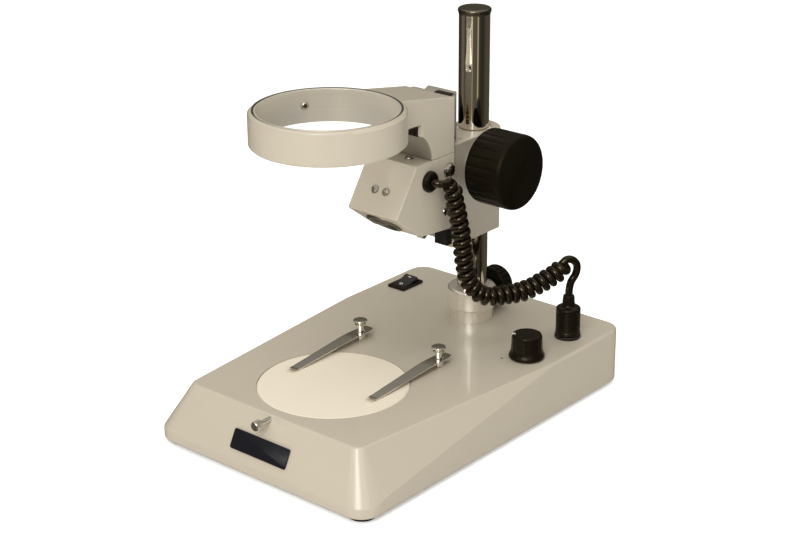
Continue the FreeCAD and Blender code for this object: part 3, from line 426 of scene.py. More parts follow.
def rounded(profile):
    """(radius, height, rounding) corners as a smooth profile, all in millimetres."""
    out = []
    for i, corner in enumerate(profile):
        r, h = corner[0], corner[1]
        size = corner[2] if len(corner) > 2 else 0.0
        if size <= 0 or i in (0, len(profile) - 1):
            out.append((r, h))
            continue
        here = Vector((r, h))
        before = (Vector(profile[i - 1][:2]) - here)
        after = (Vector(profile[i + 1][:2]) - here)
        reach = min(size, before.length * 0.49, after.length * 0.49)
        first = here + before.normalized() * reach
        last = here + after.normalized() * reach
        for k in range(5):
            t = k / 4
            p = first * (1 - t) ** 2 + here * (2 * t * (1 - t)) + last * t ** 2
            out.append((p.x, p.y))
    return out


def frame_along(axis):
    return Vector(axis).to_track_quat("Z", "Y").to_matrix()


def lathe_mesh(name, profile, centre, axis=(0, 0, 1), steps=96, shape=None):
    """A turned mesh from rounded corners. shape(radius, height, angle) may change the radius."""
    points = rounded(profile)
    turn = frame_along(axis)
    bm = bmesh.new()
    rows = []
    for r, h in points:
        if r < 1e-6:
            rows.append([bm.verts.new(centre + turn @ Vector((0, 0, h * MM)))])
            continue
        row = []
        for k in range(steps):
            a = 2 * math.pi * k / steps
            rr = shape(r, h, a) if shape else r
            p = Vector((rr * math.cos(a), rr * math.sin(a), h))
            row.append(bm.verts.new(centre + turn @ p * MM))
        rows.append(row)
    for low, high in zip(rows, rows[1:]):
        for k in range(max(len(low), len(high))):
            a, b = low[k % len(low)], low[(k + 1) % len(low)]
            c, d = high[(k + 1) % len(high)], high[k % len(high)]
            corners = [v for i, v in enumerate((a, b, c, d)) if v not in (a, b, c, d)[:i]]
            if len(corners) > 2:
                bm.faces.new(corners)
    closed = abs(points[0][0] - points[-1][0]) + abs(points[0][1] - points[-1][1]) <= 1e-6
    for row in (rows[0], rows[-1]):
        if len(row) > 1 and not closed:
            bm.faces.new(row)
    if closed:
        bmesh.ops.remove_doubles(bm, verts=bm.verts, dist=1e-7)
    return mesh_of(name, bm)


def ribs(count, depth, top, bottom, low=-1e9, high=1e9, rounding=0.5, fade=0.8):
    """A radius changer: count flutes of a depth between two radii and heights."""
    def shape(r, h, a):
        if not (low <= h <= high) or not (bottom <= r <= top):
            return r
        wave = abs(math.sin(a * count / 2)) ** rounding
        edge = min(1.0, (h - low) / fade, (high - h) / fade)
        return r - depth * (1 - wave) * max(0.0, edge)
    return shape


def box_mesh(name, size, centre, turn=None, bevel=0.2, segments=2):
    bm = bmesh.new()
    bmesh.ops.create_cube(bm, size=1.0)
    bmesh.ops.scale(bm, vec=Vector(size) * MM, verts=bm.verts)
    bmesh.ops.bevel(bm, geom=bm.edges[:], offset=bevel * MM, segments=segments, profile=0.5,
                    affect="EDGES")
    if turn:
        bmesh.ops.rotate(bm, matrix=turn, verts=bm.verts)
    bmesh.ops.translate(bm, vec=centre, verts=bm.verts)
    return mesh_of(name, bm)


# ------------------ the coiled cord

STRAND = 5.0  # the cord's own diameter
COIL = 12.4   # the coil's outside diameter
SPLINE_STEP, TUBE_STEP = 0.00017, 0.0005  # metres between points along the cord
UPPER = [(23.1, 68.8, 158.5), (26.8, 69.4, 158.0), (29.2, 74.0, 157.6), (29.0, 78.6, 158.4)]
MIDDLE = [(28.2, 80.4, 156.0), (29.6, 83.0, 141.0), (31.4, 86.0, 125.0), (32.0, 87.2, 112.5),
          (32.6, 88.4, 100.0), (34.2, 91.0, 87.0), (39.4, 100.2, 76.0), (46.2, 112.1, 76.0),
          (53.0, 124.0, 76.0), (60.4, 137.0, 81.6), (66.7, 148.0, 88.2)]
LOWER = [(66.2, 147.2, 92.4), (68.6, 151.2, 95.2), (71.6, 156.6, 91.2), (71.6, 156.4, 83.6),
         (69.0, 152.0, 77.5), (69.0, 152.0, 69.52)]
SEAM_LOW = at(46.2, 112.1, 76.0)
SEAM_HIGH = at(32.0, 87.2, 112.5)


def spline_points(route):
    """The route's NURBS line as Blender draws it, from a curve with no bevel."""
    curve = bpy.data.curves.new("route", "CURVE")
    curve.dimensions = "3D"
    curve.resolution_u = 32
    spline = curve.splines.new("NURBS")
    spline.points.add(len(route) - 1)
    for point, place in zip(spline.points, route):
        point.co = (*place, 1.0)
    spline.order_u = 3
    spline.use_endpoint_u = True
    holder = bpy.data.objects.new("route", curve)
    mesh = bpy.data.meshes.new_from_object(holder)
    line = np.array([v.co for v in mesh.vertices], float)
    bpy.data.meshes.remove(mesh)
    bpy.data.objects.remove(holder)
    bpy.data.curves.remove(curve)
    return line


def evenly(line, step):
    along = np.concatenate([[0], np.cumsum(np.linalg.norm(np.diff(line, axis=0), axis=1))])
    places = np.linspace(0, along[-1], int(along[-1] / step) + 1)
    return np.stack([np.interp(places, along, line[:, k]) for k in range(3)], axis=1), places


def smoothstep(t):
    t = min(1.0, max(0.0, t))
    return t * t * (3 - 2 * t)


def parallel_frames(line):
    """A pair of directions across the line at each point, carried along without twist."""
    ahead = np.gradient(line, axis=0)
    ahead /= np.linalg.norm(ahead, axis=1)[:, None]
    side = np.cross(ahead[0], [0.0, 0.0, 1.0])
    side /= np.linalg.norm(side)
    sides = []
    for direction in ahead:
        side = side - direction * (side @ direction)
        side = side / np.linalg.norm(side)
        sides.append(side)
    sides = np.array(sides)
    return sides, np.cross(ahead, sides)


def curl(line, places, start, end):
    """Winds the line into a helix between two lengths along it."""
    side, up = parallel_frames(line)
    radius = (COIL - STRAND) / 2 * MM
    phase = 0.4
    out = []
    for i, s in enumerate(places):
        grow = smoothstep((s - start) / 0.006) * smoothstep((end - s) / 0.005)
        wide = 1 + 0.17 * smoothstep((s - start - 0.075) / 0.04)
        pitch = (5.55 - 0.4 * smoothstep((s - start - 0.07) / 0.03)) * MM
        if i:
            phase += 2 * math.pi * (places[i] - places[i - 1]) / pitch
        wobble = 1 + 0.03 * math.sin(s * 410.0) + 0.02 * math.sin(s * 1130.0 + 1.0)
        offset = side[i] * math.cos(phase) + up[i] * math.sin(phase)
        out.append(line[i] + offset * radius * grow * wobble * wide)
    return np.array(out)


def tube_mesh(name, line, radius, sides=14):
    across, up = parallel_frames(line)
    bm = bmesh.new()
    rows = []
    for i, p in enumerate(line):
        row = []
        for k in range(sides):
            a = 2 * math.pi * k / sides
            row.append(bm.verts.new(p + (across[i] * math.cos(a) + up[i] * math.sin(a)) * radius))
        rows.append(row)
    for low, high in zip(rows, rows[1:]):
        for k in range(sides):
            bm.faces.new((low[k], low[(k + 1) % sides], high[(k + 1) % sides], high[k]))
    bm.faces.new(rows[0])
    bm.faces.new(rows[-1])
    return mesh_of(name, bm)


def make_plug():
    """The plug on the base with its ribbed grip and strain relief."""
    plug = middle("lamp_plug")
    foot = Vector((plug.x, plug.y, 0))
    profile = [(0, 30.0), (3.1, 30.0), (3.1, 42.1), (7.8, 42.1, 0.3), (8.2, 42.7, 0.4),
               (8.2, 44.2, 0.5), (7.75, 44.8)]
    for i in range(10):
        z = 45.4 + i * 1.3
        profile += [(8.0, z, 0.15), (8.0, z + 0.7, 0.15), (7.55, z + 0.95, 0.1)]
    profile += [(8.0, 58.7, 0.2), (8.0, 60.4, 0.6), (7.0, 61.2, 0.6), (4.6, 61.9, 0.8),
                (4.1, 63.4, 0.5), (3.9, 66.6), (3.7, 69.0, 0.5), (2.4, 69.5, 0.4), (0, 69.5)]
    return piece("lamp_plug_shell", lathe_mesh("lamp_plug", profile, foot, steps=80), "lamp_plug")


def nearest(points, place):
    """The number of the point that is nearest to a place."""
    return int(np.argmin(np.linalg.norm(points - np.array(place), axis=1)))


def make_cord(plug):
    """One smooth line wound into a coil and cut in three."""
    route = [at(*p) for p in UPPER + MIDDLE + LOWER]
    axis, places = evenly(spline_points(route), SPLINE_STEP)
    start = places[nearest(axis, at(*MIDDLE[0]))] - 0.002
    end = places[nearest(axis, at(*MIDDLE[-1]))] + 0.004
    line = curl(axis, places, start, end)
    cuts = [0, nearest(axis, SEAM_HIGH), nearest(axis, SEAM_LOW), len(line) - 1]
    plan = [
        ("lamp_cord_upper", ["cord_coil_upper", "cord_upper"], "block", "holder",
         SEAM_HIGH, at(28.2, 80.4, 154.0)),
        ("lamp_cord_middle", ["cord_coil_middle"], "carrier", "block", SEAM_LOW, SEAM_HIGH),
        ("lamp_cord_lower", ["cord_coil_lower", "cord_lower"], "base", "carrier",
         at(65.0, 145.0, 86.5), SEAM_LOW),
    ]
    for i, (name, nodes, first, second, low, high) in enumerate(plan):
        part = evenly(line[cuts[i]:cuts[i + 1] + 1], TUBE_STEP)[0]
        mesh = tube_mesh(name, part, STRAND / 2 * MM)
        mesh.materials.append(MATERIALS["cord_pvc"])
        obj = bpy.data.objects.new(name, shaded(mesh, 60.0))
        bpy.context.scene.collection.objects.link(obj)
        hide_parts(*nodes)
        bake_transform(obj)


make_cord(make_plug())


# ------------------ base

BASE_TOP, BASE_LOW, BASE_HALF, BASE_FRONT, BASE_REAR = 40.0, 3.0, 87.5, -71.0, 190.0
RIDGE_HALF, FACET_END, FACET_LOW = 70.0, 118.0, 12.4
TINY = 0.02  # how far inside the CAD faces the visual ones lie
RIDGE = Vector((0, -55.5, BASE_TOP))
SLOPE = Vector((0, -29.0, 15.1)).normalized()


def base_hull():
    """The base's outside: flat top, front slope and side facets, with all its edges rounded."""
    corner = Vector((RIDGE_HALF, RIDGE.y, BASE_TOP))
    facet_rear = Vector((BASE_HALF, FACET_END, BASE_TOP))
    facet_foot = Vector((BASE_HALF, RIDGE.y, FACET_LOW))
    facet = (facet_rear - corner).cross(facet_foot - corner)
    facet = (facet * (1 if facet.z > 0 else -1)).normalized()
    slope_at, facet_at = SLOPE.dot(RIDGE) - TINY, facet.dot(corner) - TINY
    half, top, low = BASE_HALF - TINY, BASE_TOP - TINY, BASE_LOW + TINY
    points = []

    def reach(normal, wide, radius):
        return wide * math.hypot(normal.x, normal.y) + radius

    wide, radius = 5.2, 1.8
    z = top - radius
    y = (slope_at - reach(SLOPE, wide, radius) - SLOPE.z * z) / SLOPE.y
    x = (facet_at - reach(facet, wide, radius) - facet.z * z - facet.y * y) / facet.x
    points += round_corner((x, y, z), wide, radius)
    wide, radius = 11.5, 2.5
    y = BASE_FRONT + TINY + wide + radius
    z = (slope_at - reach(SLOPE, wide, radius) - SLOPE.y * y) / SLOPE.z
    points += round_corner((half - wide - radius, y, z), wide, radius)
    points += round_corner((half - 14.0, BASE_FRONT + TINY + 14.0, low + 2.2), 11.8, 2.2)
    for y in (-54.0, 30.0):
        z = (facet_at - 2.0 - facet.x * (half - 2.0) - facet.y * y) / facet.z
        points += round_corner((half - 2.0, y, z), 0, 2.0)
    y = (facet_at - 2.0 - facet.x * (half - 2.0) - facet.z * (top - 2.0)) / facet.y
    points += round_corner((half - 2.0, y, top - 2.0), 0, 2.0)
    points += round_corner((half - 12.0, BASE_REAR - TINY - 12.0, top - 2.0), 10.0, 2.0)
    points += round_corner((half - 12.0, BASE_REAR - TINY - 12.0, low + 1.2), 10.8, 1.2)
    return hull_of(points + [Vector((-p.x, p.y, p.z)) for p in points])


def make_base():
    """The CAD base with solid front corners, kept inside the rounded hull."""
    mesh = mesh_of("base", welded("base_housing", 0))
    for side in (-1, 1):
        corner = box_mesh("corner", (30.0, 28.0, 31.0), at(side * 76.0, -60.5, 21.0))
        mesh = combined(mesh, corner, "UNION")
    skin("base_housing", combined(mesh, base_hull(), "INTERSECT"))


make_base()
softened("bottom_cover", 0.3, segments=1)
softened("switch_body", 0.45)
softened("switch_rocker", 0.35)
softened("power_inlet", 0.5)


POST_X, POST_Y = 33.0, 62.6            # the clips' posts
CLIP_WIDTH, CLIP_LENGTH = 0.82, 1.045  # shares of the CAD clip's


def slim_clip(node, side):
    """A stage clip's strip, a little slimmer and longer than its stock, with soft edges."""
    bm = bevelled(welded(node), 0.12, segments=2)
    post = at(side * POST_X, POST_Y, 0)
    for v in bm.verts:
        v.co.x = post.x + (v.co.x - post.x) * CLIP_WIDTH
        v.co.y = post.y + (v.co.y - post.y) * CLIP_LENGTH
    skin(node, mesh_of(node, bm))


slim_clip("stage_clip_left", -1)
slim_clip("stage_clip_right", 1)


# ------------------ head

RING_TOP = 215.95     # where the groove round the bore begins
BORE_R, GROOVE_R = 42.58, 44.6
WINDOW_Y, WINDOW_Z, WINDOW_R = 50.0, 171.0, 21.4  # the arm's round opening
CLAMP_HEIGHT = 207.5
CLAMP = Vector((math.cos(math.radians(152)), math.sin(math.radians(152)), 0))


def annulus(inner, outer, low, high):
    corners = [(inner, low), (outer, low), (outer, high), (inner, high), (inner, low)]
    return lathe_mesh("annulus", corners, at(0, 0, 0), steps=192)


def make_ring_liner():
    """The ring's bare bore and the raised lip round its top, with the clamp screw's hole."""
    profile = [(42.0, 196.7), (42.5, 196.52), (42.6, 196.6), (42.6, 215.9), (43.25, 216.0),
               (43.25, 217.2, 0.1), (43.05, 217.45, 0.1), (42.3, 217.45, 0.1), (42.0, 217.1, 0.1),
               (42.0, 196.7)]
    mesh = lathe_mesh("liner", profile, at(0, 0, 0), steps=192)
    axis_at = at(0, 0, CLAMP_HEIGHT)
    drill = [(0, 35.0), (2.55, 35.0), (2.55, 50.0), (0, 50.0)]
    hole = lathe_mesh("hole", drill, axis_at, CLAMP, steps=40)
    mesh = combined(mesh, hole, "DIFFERENCE")
    mesh.materials.clear()
    piece("holder_bore_liner", mesh, body="holder", slot="turned_aluminium", material=BARE_BORE)
    profile = [(0, 41.3), (1.5, 41.3, 0.2), (2.1, 41.9, 0.2), (2.45, 42.4, 0.2), (2.45, 47.3),
               (3.9, 47.3, 0.2), (4.0, 47.6, 0.2), (4.0, 51.8, 0.3), (3.5, 52.4, 0.3), (0, 52.4)]
    shape = ribs(30, 0.25, 4.1, 3.9, 47.4, 52.0, rounding=0.7, fade=0.3)
    mesh = lathe_mesh("ring_screw", profile, axis_at, CLAMP, steps=240, shape=shape)
    piece("ring_clamp_screw_knurled", mesh, "ring_clamp_screw")


def arm_edges(p, edge):
    """The outline of the arm's two side faces, away from the ring."""
    away = math.hypot(p.x - RING_AT.x, p.y - RING_AT.y)
    return all(abs(v.co.x) > 0.0198 for v in edge.verts) and away > 0.0475


def make_arm():
    """The arm and its ring: groove and pocket cut, bare faces told apart, painted shade laid on the
    groove, the window wall and the pocket.
    """
    mesh = mesh_of("arm", bevelled(welded("holder_arm"), 0.9, pick=arm_edges, clamp=False))
    mesh = combined(mesh, annulus(38.0, BORE_R, 190.0, 220.0), "DIFFERENCE")
    mesh = combined(mesh, annulus(38.0, GROOVE_R, RING_TOP, 218.5), "DIFFERENCE")
    pocket = box_mesh("pocket", (32.0, 14.0, 9.0), at(0, 65.5, 192.0), bevel=0.3)
    mesh = combined(mesh, pocket, "DIFFERENCE")
    mesh.materials.clear()
    for material in (MATERIALS["painted_head"], BARE_BORE, GROOVE_PAINTED_SHADE, WINDOW_WALL_PAINTED_SHADE, POCKET_PAINTED_SHADE):
        mesh.materials.append(material)
    for polygon in mesh.polygons:
        c = polygon.center
        away = math.hypot(c.x - RING_AT.x, c.y - RING_AT.y) / MM
        y, z = (c.y - STAGE.y) / MM, c.z / MM
        polygon.material_index = 0
        if away < 42.7 and z < 215.9:
            polygon.material_index = 1
        # painted shade in the groove round the bore
        elif away < 44.7 and 215.8 < z < 217.45:
            polygon.material_index = 2
        # painted shade on the round window's wall
        elif (abs(math.hypot(y - WINDOW_Y, z - WINDOW_Z) - WINDOW_R) < 0.5
              and abs(c.x) < 0.0199 and away > 47.2):
            polygon.material_index = 3
        # painted shade in the pocket
        elif abs(c.x) < 0.0162 and 58.0 < y < 72.8 and 187.0 < z < 196.6:
            polygon.material_index = 4
    skin("holder_arm", mesh)


def make_housing():
    """The lamp housing with every outer edge rounded by the same small radius."""
    corners = [(57.3, 171.0), (37.8, 141.3), (61.3, 123.9), (89.6, 121.5), (94.0, 125.5),
               (94.0, 171.0)]
    radius = 0.8
    points = []
    for i, here in enumerate(corners):
        before, after = Vector(corners[i - 1]), Vector(corners[(i + 1) % len(corners)])
        here = Vector(here)
        first, second = (here - before).normalized(), (after - here).normalized()
        left, right = Vector((-first.y, first.x)), Vector((-second.y, second.x))
        inward = (left + right) / (1 + left.dot(right))
        p = here + inward * (radius + TINY)
        for x in (-20.0 + radius + TINY, 20.0 - radius - TINY):
            points += round_corner((x, p.x, p.y), 0, radius)
    mesh = combined(mesh_of("housing", welded("lamp_housing", 0)), hull_of(points), "INTERSECT")
    skin("lamp_housing", mesh)


def make_bezel():
    """A thin painted seat flush with the housing and a dark ring that holds the lens."""
    normal = Vector((0, -17.4, -23.5)).normalized()
    centre = at(0, 49.55, 132.6)
    seat = [(10.6, 0.02), (13.4, 0.02), (13.4, 0.22, 0.1), (10.6, 0.25), (10.6, 0.02)]
    ring = [(8.2, -0.4), (11.9, -0.4), (11.9, 0.9, 0.3), (11.2, 1.4, 0.4), (9.4, 1.4, 0.4),
            (8.2, 0.2, 0.2), (8.2, -0.4)]
    mesh = lathe_mesh("seat", seat, centre, normal, steps=128)
    piece("lamp_bezel_seat", mesh, body="holder", slot="painted_head",
          material=MATERIALS["painted_head"])
    mesh = lathe_mesh("ring", ring, centre, normal, steps=128)
    piece("lamp_bezel_ring", mesh, "lamp_bezel", material=SATIN)


def block_edges(p, edge):
    """The focusing block's long edges and those of its two ends, away from the slide's groove."""
    outer = abs(p.x) > 0.0148 or p.y < at(0, 98.4, 0).y or math.hypot(p.x, p.y - POLE_AT.y) > 0.0172
    at_end = abs(p.z - 0.1735) < 1e-4 or abs(p.z - 0.1045) < 1e-4
    return outer and (edge.calc_length() > 0.03 or at_end)


make_arm()
make_ring_liner()
make_housing()
make_bezel()
softened("focus_block", 0.8, pick=block_edges, clamp=False)
softened("slide_plate", 0.4, segments=2)


def low_stop():
    """The upper slide stop as a thin strip on the slide's end."""
    bm = bevelled(welded("slide_stop_upper"), 0.4, segments=2)
    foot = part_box("slide_stop_upper")[0].z
    for v in bm.verts:
        v.co.z = foot + (v.co.z - foot) * 0.5
    skin("slide_stop_upper", mesh_of("slide_stop_upper", bm))


low_stop()
softened("slide_stop_lower", 0.5, segments=2)


# ------------------ knobs and small turned pieces

def focus_knob(side):
    """A big fluted knob of the focus drive, on the right for side 1 and on the left for -1."""
    name = "focus_knob_" + ("right" if side > 0 else "left")
    centre = middle(name)
    start = Vector((side * 26.0 * MM, centre.y, centre.z))
    profile = [(3.1, 0), (22.4, 0, 1.2), (24.1, 1.7, 1.5), (24.1, 6.0), (24.1, 12.0), (24.1, 18.0),
               (24.1, 24.0), (24.0, 25.6, 1.2), (23.0, 27.6, 1.6), (0, 27.6)]
    shape = ribs(24, 0.75, 24.2, 23.9, 1.2, 24.6, rounding=0.42, fade=1.6)
    piece(name + "_grip", lathe_mesh(name, profile, start, (side, 0, 0), 360, shape), name)


def clamp_knob(name, centre, length, radius, ribs_count, neck):
    """A small fluted knob on a neck, pointing to the rear."""
    profile = [(0, 0), (3.0, 0), (3.0, neck - 3.0), (5.0, neck - 3.0, 0.3), (5.0, neck, 0.3),
               (radius - 0.9, neck, 0.5), (radius, neck + 1.0, 0.6), (radius, neck + 4.0),
               (radius, length - 2.6), (radius, length - 1.4, 0.9), (radius - 1.3, length, 0.9),
               (radius - 3.2, length, 0.3), (radius - 3.8, length - 0.6, 0.3), (0, length - 0.6)]
    shape = ribs(ribs_count, 0.75, radius + 0.1, radius - 0.1, neck + 1.0, length - 1.2,
                 rounding=0.6)
    piece(name + "_grip", lathe_mesh(name, profile, centre, (0, 1, 0), 240, shape), name)


def make_dimmer():
    """The dimmer's ribbed cap with its pointer mark, and the dot on the base beside it."""
    dimmer = middle("dimmer_knob")
    foot = Vector((dimmer.x, dimmer.y, 0))
    profile = [(3.03, 46.5), (7.2, 46.5), (7.2, 40.6), (11.2, 40.6, 0.3), (11.6, 41.2, 0.4),
               (11.5, 42.4, 0.6), (10.6, 44.2, 0.9), (10.2, 45.6, 0.6), (9.95, 50.0),
               (9.75, 54.8, 0.8), (9.3, 56.0, 0.5), (8.5, 56.3, 0.4), (7.9, 56.05, 0.3), (0, 55.9)]
    shape = ribs(14, 0.22, 10.25, 9.6, 45.2, 56.0, rounding=0.5, fade=1.2)
    mesh = lathe_mesh("dimmer_knob", profile, foot, steps=224, shape=shape)
    piece("dimmer_knob_cap", mesh, "dimmer_knob")
    pointer = math.radians(216)
    out = Vector((math.cos(pointer), math.sin(pointer), 0))
    turn = Matrix.Rotation(pointer, 3, "Z")
    place = foot + out * 8.4 * MM + Vector((0, 0, 56.12 * MM))
    mark = box_mesh("dimmer_mark", (2.2, 1.3, 0.5), place, turn, 0.12)
    piece("dimmer_mark", mark, body="dimmer", slot="black_plastic", material=WHITE_INK)
    profile = [(0, 40.0), (0.85, 40.0), (0.85, 40.04), (0, 40.05)]
    dot = lathe_mesh("panel_dot", profile, at(57.0, 96.9, 0), steps=32)
    piece("panel_dot", dot, body="base", slot="label_black", material=DARK_INK)


def make_pole_fittings():
    """The pole's knurled cap, and the flange and the collar at its foot."""
    cap = middle("pole_cap")
    foot = Vector((cap.x, cap.y, 0))
    profile = [(0, 238.0), (7.45, 238.0), (7.45, 248.0), (10.2, 248.0, 0.2), (10.3, 248.3, 0.1),
               (10.3, 249.1, 0.1), (10.7, 249.4, 0.2), (10.7, 250.9, 0.4), (9.9, 251.8, 0.6),
               (0, 251.9)]
    shape = ribs(60, 0.18, 10.35, 10.2, 248.1, 249.3, rounding=0.8, fade=0.2)
    mesh = lathe_mesh("pole_cap", profile, foot, steps=240, shape=shape)
    piece("pole_cap_lid", mesh, "pole_cap", material=CAP_CHROME)
    profile = [(10.05, 40.0), (14.1, 40.0), (14.1, 48.9, 0.2), (13.9, 49.0), (10.05, 49.0),
               (10.05, 40.0)]
    piece("pole_flange_turned", lathe_mesh("pole_flange", profile, foot, steps=128), "pole_flange")
    profile = [(10.05, 49.0), (15.5, 49.0), (16.2, 49.7, 0.2), (16.2, 61.7, 0.3), (15.1, 63.0, 0.3),
               (10.05, 63.0), (10.05, 49.0)]
    piece("pole_collar_turned", lathe_mesh("pole_collar", profile, foot, steps=128), "pole_collar")


def make_stage_fittings():
    """The knurled pin in front of the stage plate, and the posts of its two clips."""
    profile = [(0, 0), (1.6, 0), (1.6, 16.2), (2.5, 16.4, 0.2), (2.9, 16.9, 0.3), (3.0, 17.4),
               (3.0, 21.2), (2.9, 21.8, 0.3), (2.3, 22.3, 0.3), (0, 22.3)]
    shape = ribs(26, 0.22, 3.05, 2.95, 16.9, 21.9, rounding=0.7, fade=0.3)
    mesh = lathe_mesh("stage_plate_screw", profile, at(0, -47.7, 37.4), (0, -1, 0), 208, shape)
    piece("stage_plate_pin", mesh, "stage_plate_screw")
    profile = [(0, 35.0), (2.0, 35.0), (2.0, 40.0), (2.9, 40.0, 0.2), (3.0, 40.3, 0.2), (3.0, 44.4),
               (2.4, 44.6), (2.3, 49.4, 0.2), (3.6, 49.8, 0.2), (3.7, 50.4, 0.2), (2.6, 50.9, 0.3),
               (2.6, 51.7, 0.3), (4.4, 52.2, 0.2), (4.7, 52.5, 0.2), (4.7, 53.1, 0.3),
               (4.3, 53.4, 0.3), (0, 53.5)]
    bm = bmesh.new()
    for side in (-1, 1):
        bm.from_mesh(lathe_mesh("post", profile, at(side * POST_X, POST_Y, 0), steps=72))
    piece("clip_posts_turned", mesh_of("clip_posts", bm), "clip_posts")


for side in (-1, 1):
    focus_knob(side)
clamp_knob("pole_clamp_knob", at(0, 148.1, 56.0), 20.0, 12.5, 20, 9.3)
clamp_knob("block_clamp_knob", at(0, 149.6, 140.0), 18.6, 10.0, 18, 8.6)
make_dimmer()
make_pole_fittings()
make_stage_fittings()


def make_feet():
    profile = [(0, 0.6), (2.9, 0.6), (3.1, 0.1, 0.2), (3.9, 0.0, 0.3), (8.2, 0.0, 0.5),
               (8.8, 0.7, 0.4), (8.2, 3.0, 0.3), (0, 3.0)]
    bm = bmesh.new()
    for x, y in ((-74.4, -57.8), (74.4, -57.8), (-72.0, 176.0), (72.0, 176.0)):
        bm.from_mesh(lathe_mesh("foot", profile, at(x, y, 0), steps=64))
    piece("rubber_feet_moulded", mesh_of("feet", bm), "rubber_feet")


make_feet()


# ------------------ screws with recesses

RECESS = {"cross": ([0.0, math.pi / 2], 0.16, 0.72), "slot": ([0.0], 0.14, 1.02)}


def recessed_head(bm, centre, turn, radius, height):
    """A low domed head, in shares of a radius and a height."""
    rings = [(1.0, 0.0), (1.0, 0.35), (0.88, 0.72), (0.62, 0.93), (0.34, 1.0)]
    steps = 32
    rows = []
    for r, h in rings:
        row = []
        for k in range(steps):
            a = 2 * math.pi * k / steps
            p = Vector((r * radius * math.cos(a), r * radius * math.sin(a), h * height))
            row.append(bm.verts.new(centre + turn @ p * MM))
        rows.append(row)
    for low, high in zip(rows, rows[1:]):
        for k in range(steps):
            bm.faces.new((low[k], low[(k + 1) % steps], high[(k + 1) % steps], high[k]))
    bm.faces.new(rows[-1])
    bm.faces.new(rows[0][::-1])


def screw_set(name, node, screws):
    """Heads as one piece, with a cross or a slot cut into each by thin blocks."""
    heads, blocks = bmesh.new(), bmesh.new()
    for centre, normal, radius, height, kind, spin in screws:
        turn = frame_along(normal) @ Matrix.Rotation(spin, 3, "Z")
        recessed_head(heads, centre, turn, radius, height)
        arms, width, reach = RECESS[kind]
        for a in arms:
            size = Vector((2 * reach * radius, 2 * width * radius, height)) * MM
            lift = centre + turn @ Vector((0, 0, height * MM))
            made = bmesh.ops.create_cube(blocks, size=1.0)["verts"]
            bmesh.ops.scale(blocks, vec=size, verts=made)
            bmesh.ops.rotate(blocks, matrix=turn @ Matrix.Rotation(a, 3, "Z"), verts=made)
            bmesh.ops.translate(blocks, vec=lift, verts=made)
    mesh = combined(mesh_of(name, heads), mesh_of(name + "_cutter", blocks), "DIFFERENCE")
    piece(name, mesh, node)


face = Vector((0, -29.7, 19.5)).normalized()
screw_set("housing_screw_heads", "housing_screws", [
    (at(-4.4, 46.24, 154.2), face, 2.6, 1.3, "cross", 0.35),
    (at(4.4, 46.24, 154.2), face, 2.6, 1.3, "cross", -0.2),
    (at(5.9, 66.2, 171.0), Vector((0, 0, 1)), 2.6, 1.6, "cross", 0.6),
    (at(20.0, 84.5, 134.4), Vector((1, 0, 0)), 2.6, 1.3, "slot", 1.9),
])


# ------------------ label

def make_label():
    """A blank plate with round corners on the front slope."""
    low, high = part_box("name_plate")
    centre = (low + high) / 2
    turn = Matrix((Vector((1, 0, 0)), SLOPE.cross(Vector((1, 0, 0))), SLOPE)).transposed()
    width, height, thick, corner = 23.0, 6.25, 0.8, 1.3
    bm = bmesh.new()
    ring = []
    for cx, cy, a0 in ((1, 1, 0), (-1, 1, 90), (-1, -1, 180), (1, -1, 270)):
        for k in range(7):
            a = math.radians(a0 + 15 * k)
            ring.append((cx * (width - corner) + corner * math.cos(a),
                         cy * (height - corner) + corner * math.sin(a)))

    def row(shrink, h):
        wide, tall = 1 - shrink / width, 1 - shrink / height
        return [bm.verts.new(centre + turn @ Vector((x * wide, y * tall, h)) * MM)
                for x, y in ring]

    top = thick / 2
    rows = [row(0, -top), row(0, top - 0.18), row(0.06, top - 0.05), row(0.2, top)]
    for a, b in zip(rows, rows[1:]):
        for k in range(len(ring)):
            bm.faces.new((a[k], a[(k + 1) % len(ring)], b[(k + 1) % len(ring)], b[k]))
    bm.faces.new(rows[-1])
    bm.faces.new(rows[0][::-1])
    piece("name_plate_blank", mesh_of("name_plate", bm), "name_plate")


make_label()


def make_switch_marks():
    """A ring and a bar printed on the rocker, laid on its curved face."""
    probe = bmesh.new()
    probe.from_mesh(NODES["switch_rocker"].data)
    tree = BVHTree.FromBMesh(probe)
    probe.free()
    bm = bmesh.new()
    centre = middle("switch_rocker")
    for dy, kind in ((-4.6, "ring"), (4.6, "bar")):
        above = Vector((centre.x, centre.y + dy * MM, 0.08))
        hit, normal, _, _ = tree.ray_cast(above, Vector((0, 0, -1)))
        if hit is None:
            continue
        if kind == "ring":
            profile = [(0.75, 0.0), (1.25, 0.0), (1.25, 0.06), (0.75, 0.06), (0.75, 0.0)]
            bm.from_mesh(lathe_mesh("mark", profile, hit, normal, steps=32))
        else:
            bm.from_mesh(box_mesh("mark", (2.4, 0.6, 0.12), hit, frame_along(normal), 0.04, 1))
    piece("switch_marks", mesh_of("marks", bm), body="rocker", slot="black_gloss",
          material=WHITE_INK)


make_switch_marks()


# ------------------ the CAD nodes that stay

SPECIAL = {"side_screw": DULL_CHROME}
for name, obj in NODES.items():
    if obj.hide_render:
        continue
    obj.data.materials.clear()
    obj.data.materials.append(SPECIAL.get(name) or MATERIALS[SLOT[name]])
    shaded(obj.data, 28.0)


# ------------------ floor and light

def emitter(name, place, target, width, height, strength, color=(1, 1, 1)):
    light = bpy.data.lights.new(name, "AREA")
    light.shape = "RECTANGLE"
    light.size = width
    light.size_y = height
    light.energy = strength
    light.color = color
    obj = bpy.data.objects.new(name, light)
    bpy.context.scene.collection.objects.link(obj)
    obj.location = place
    obj.rotation_mode = "QUATERNION"
    obj.rotation_quaternion = (Vector(target) - Vector(place)).to_track_quat("-Z", "Y")
    return obj


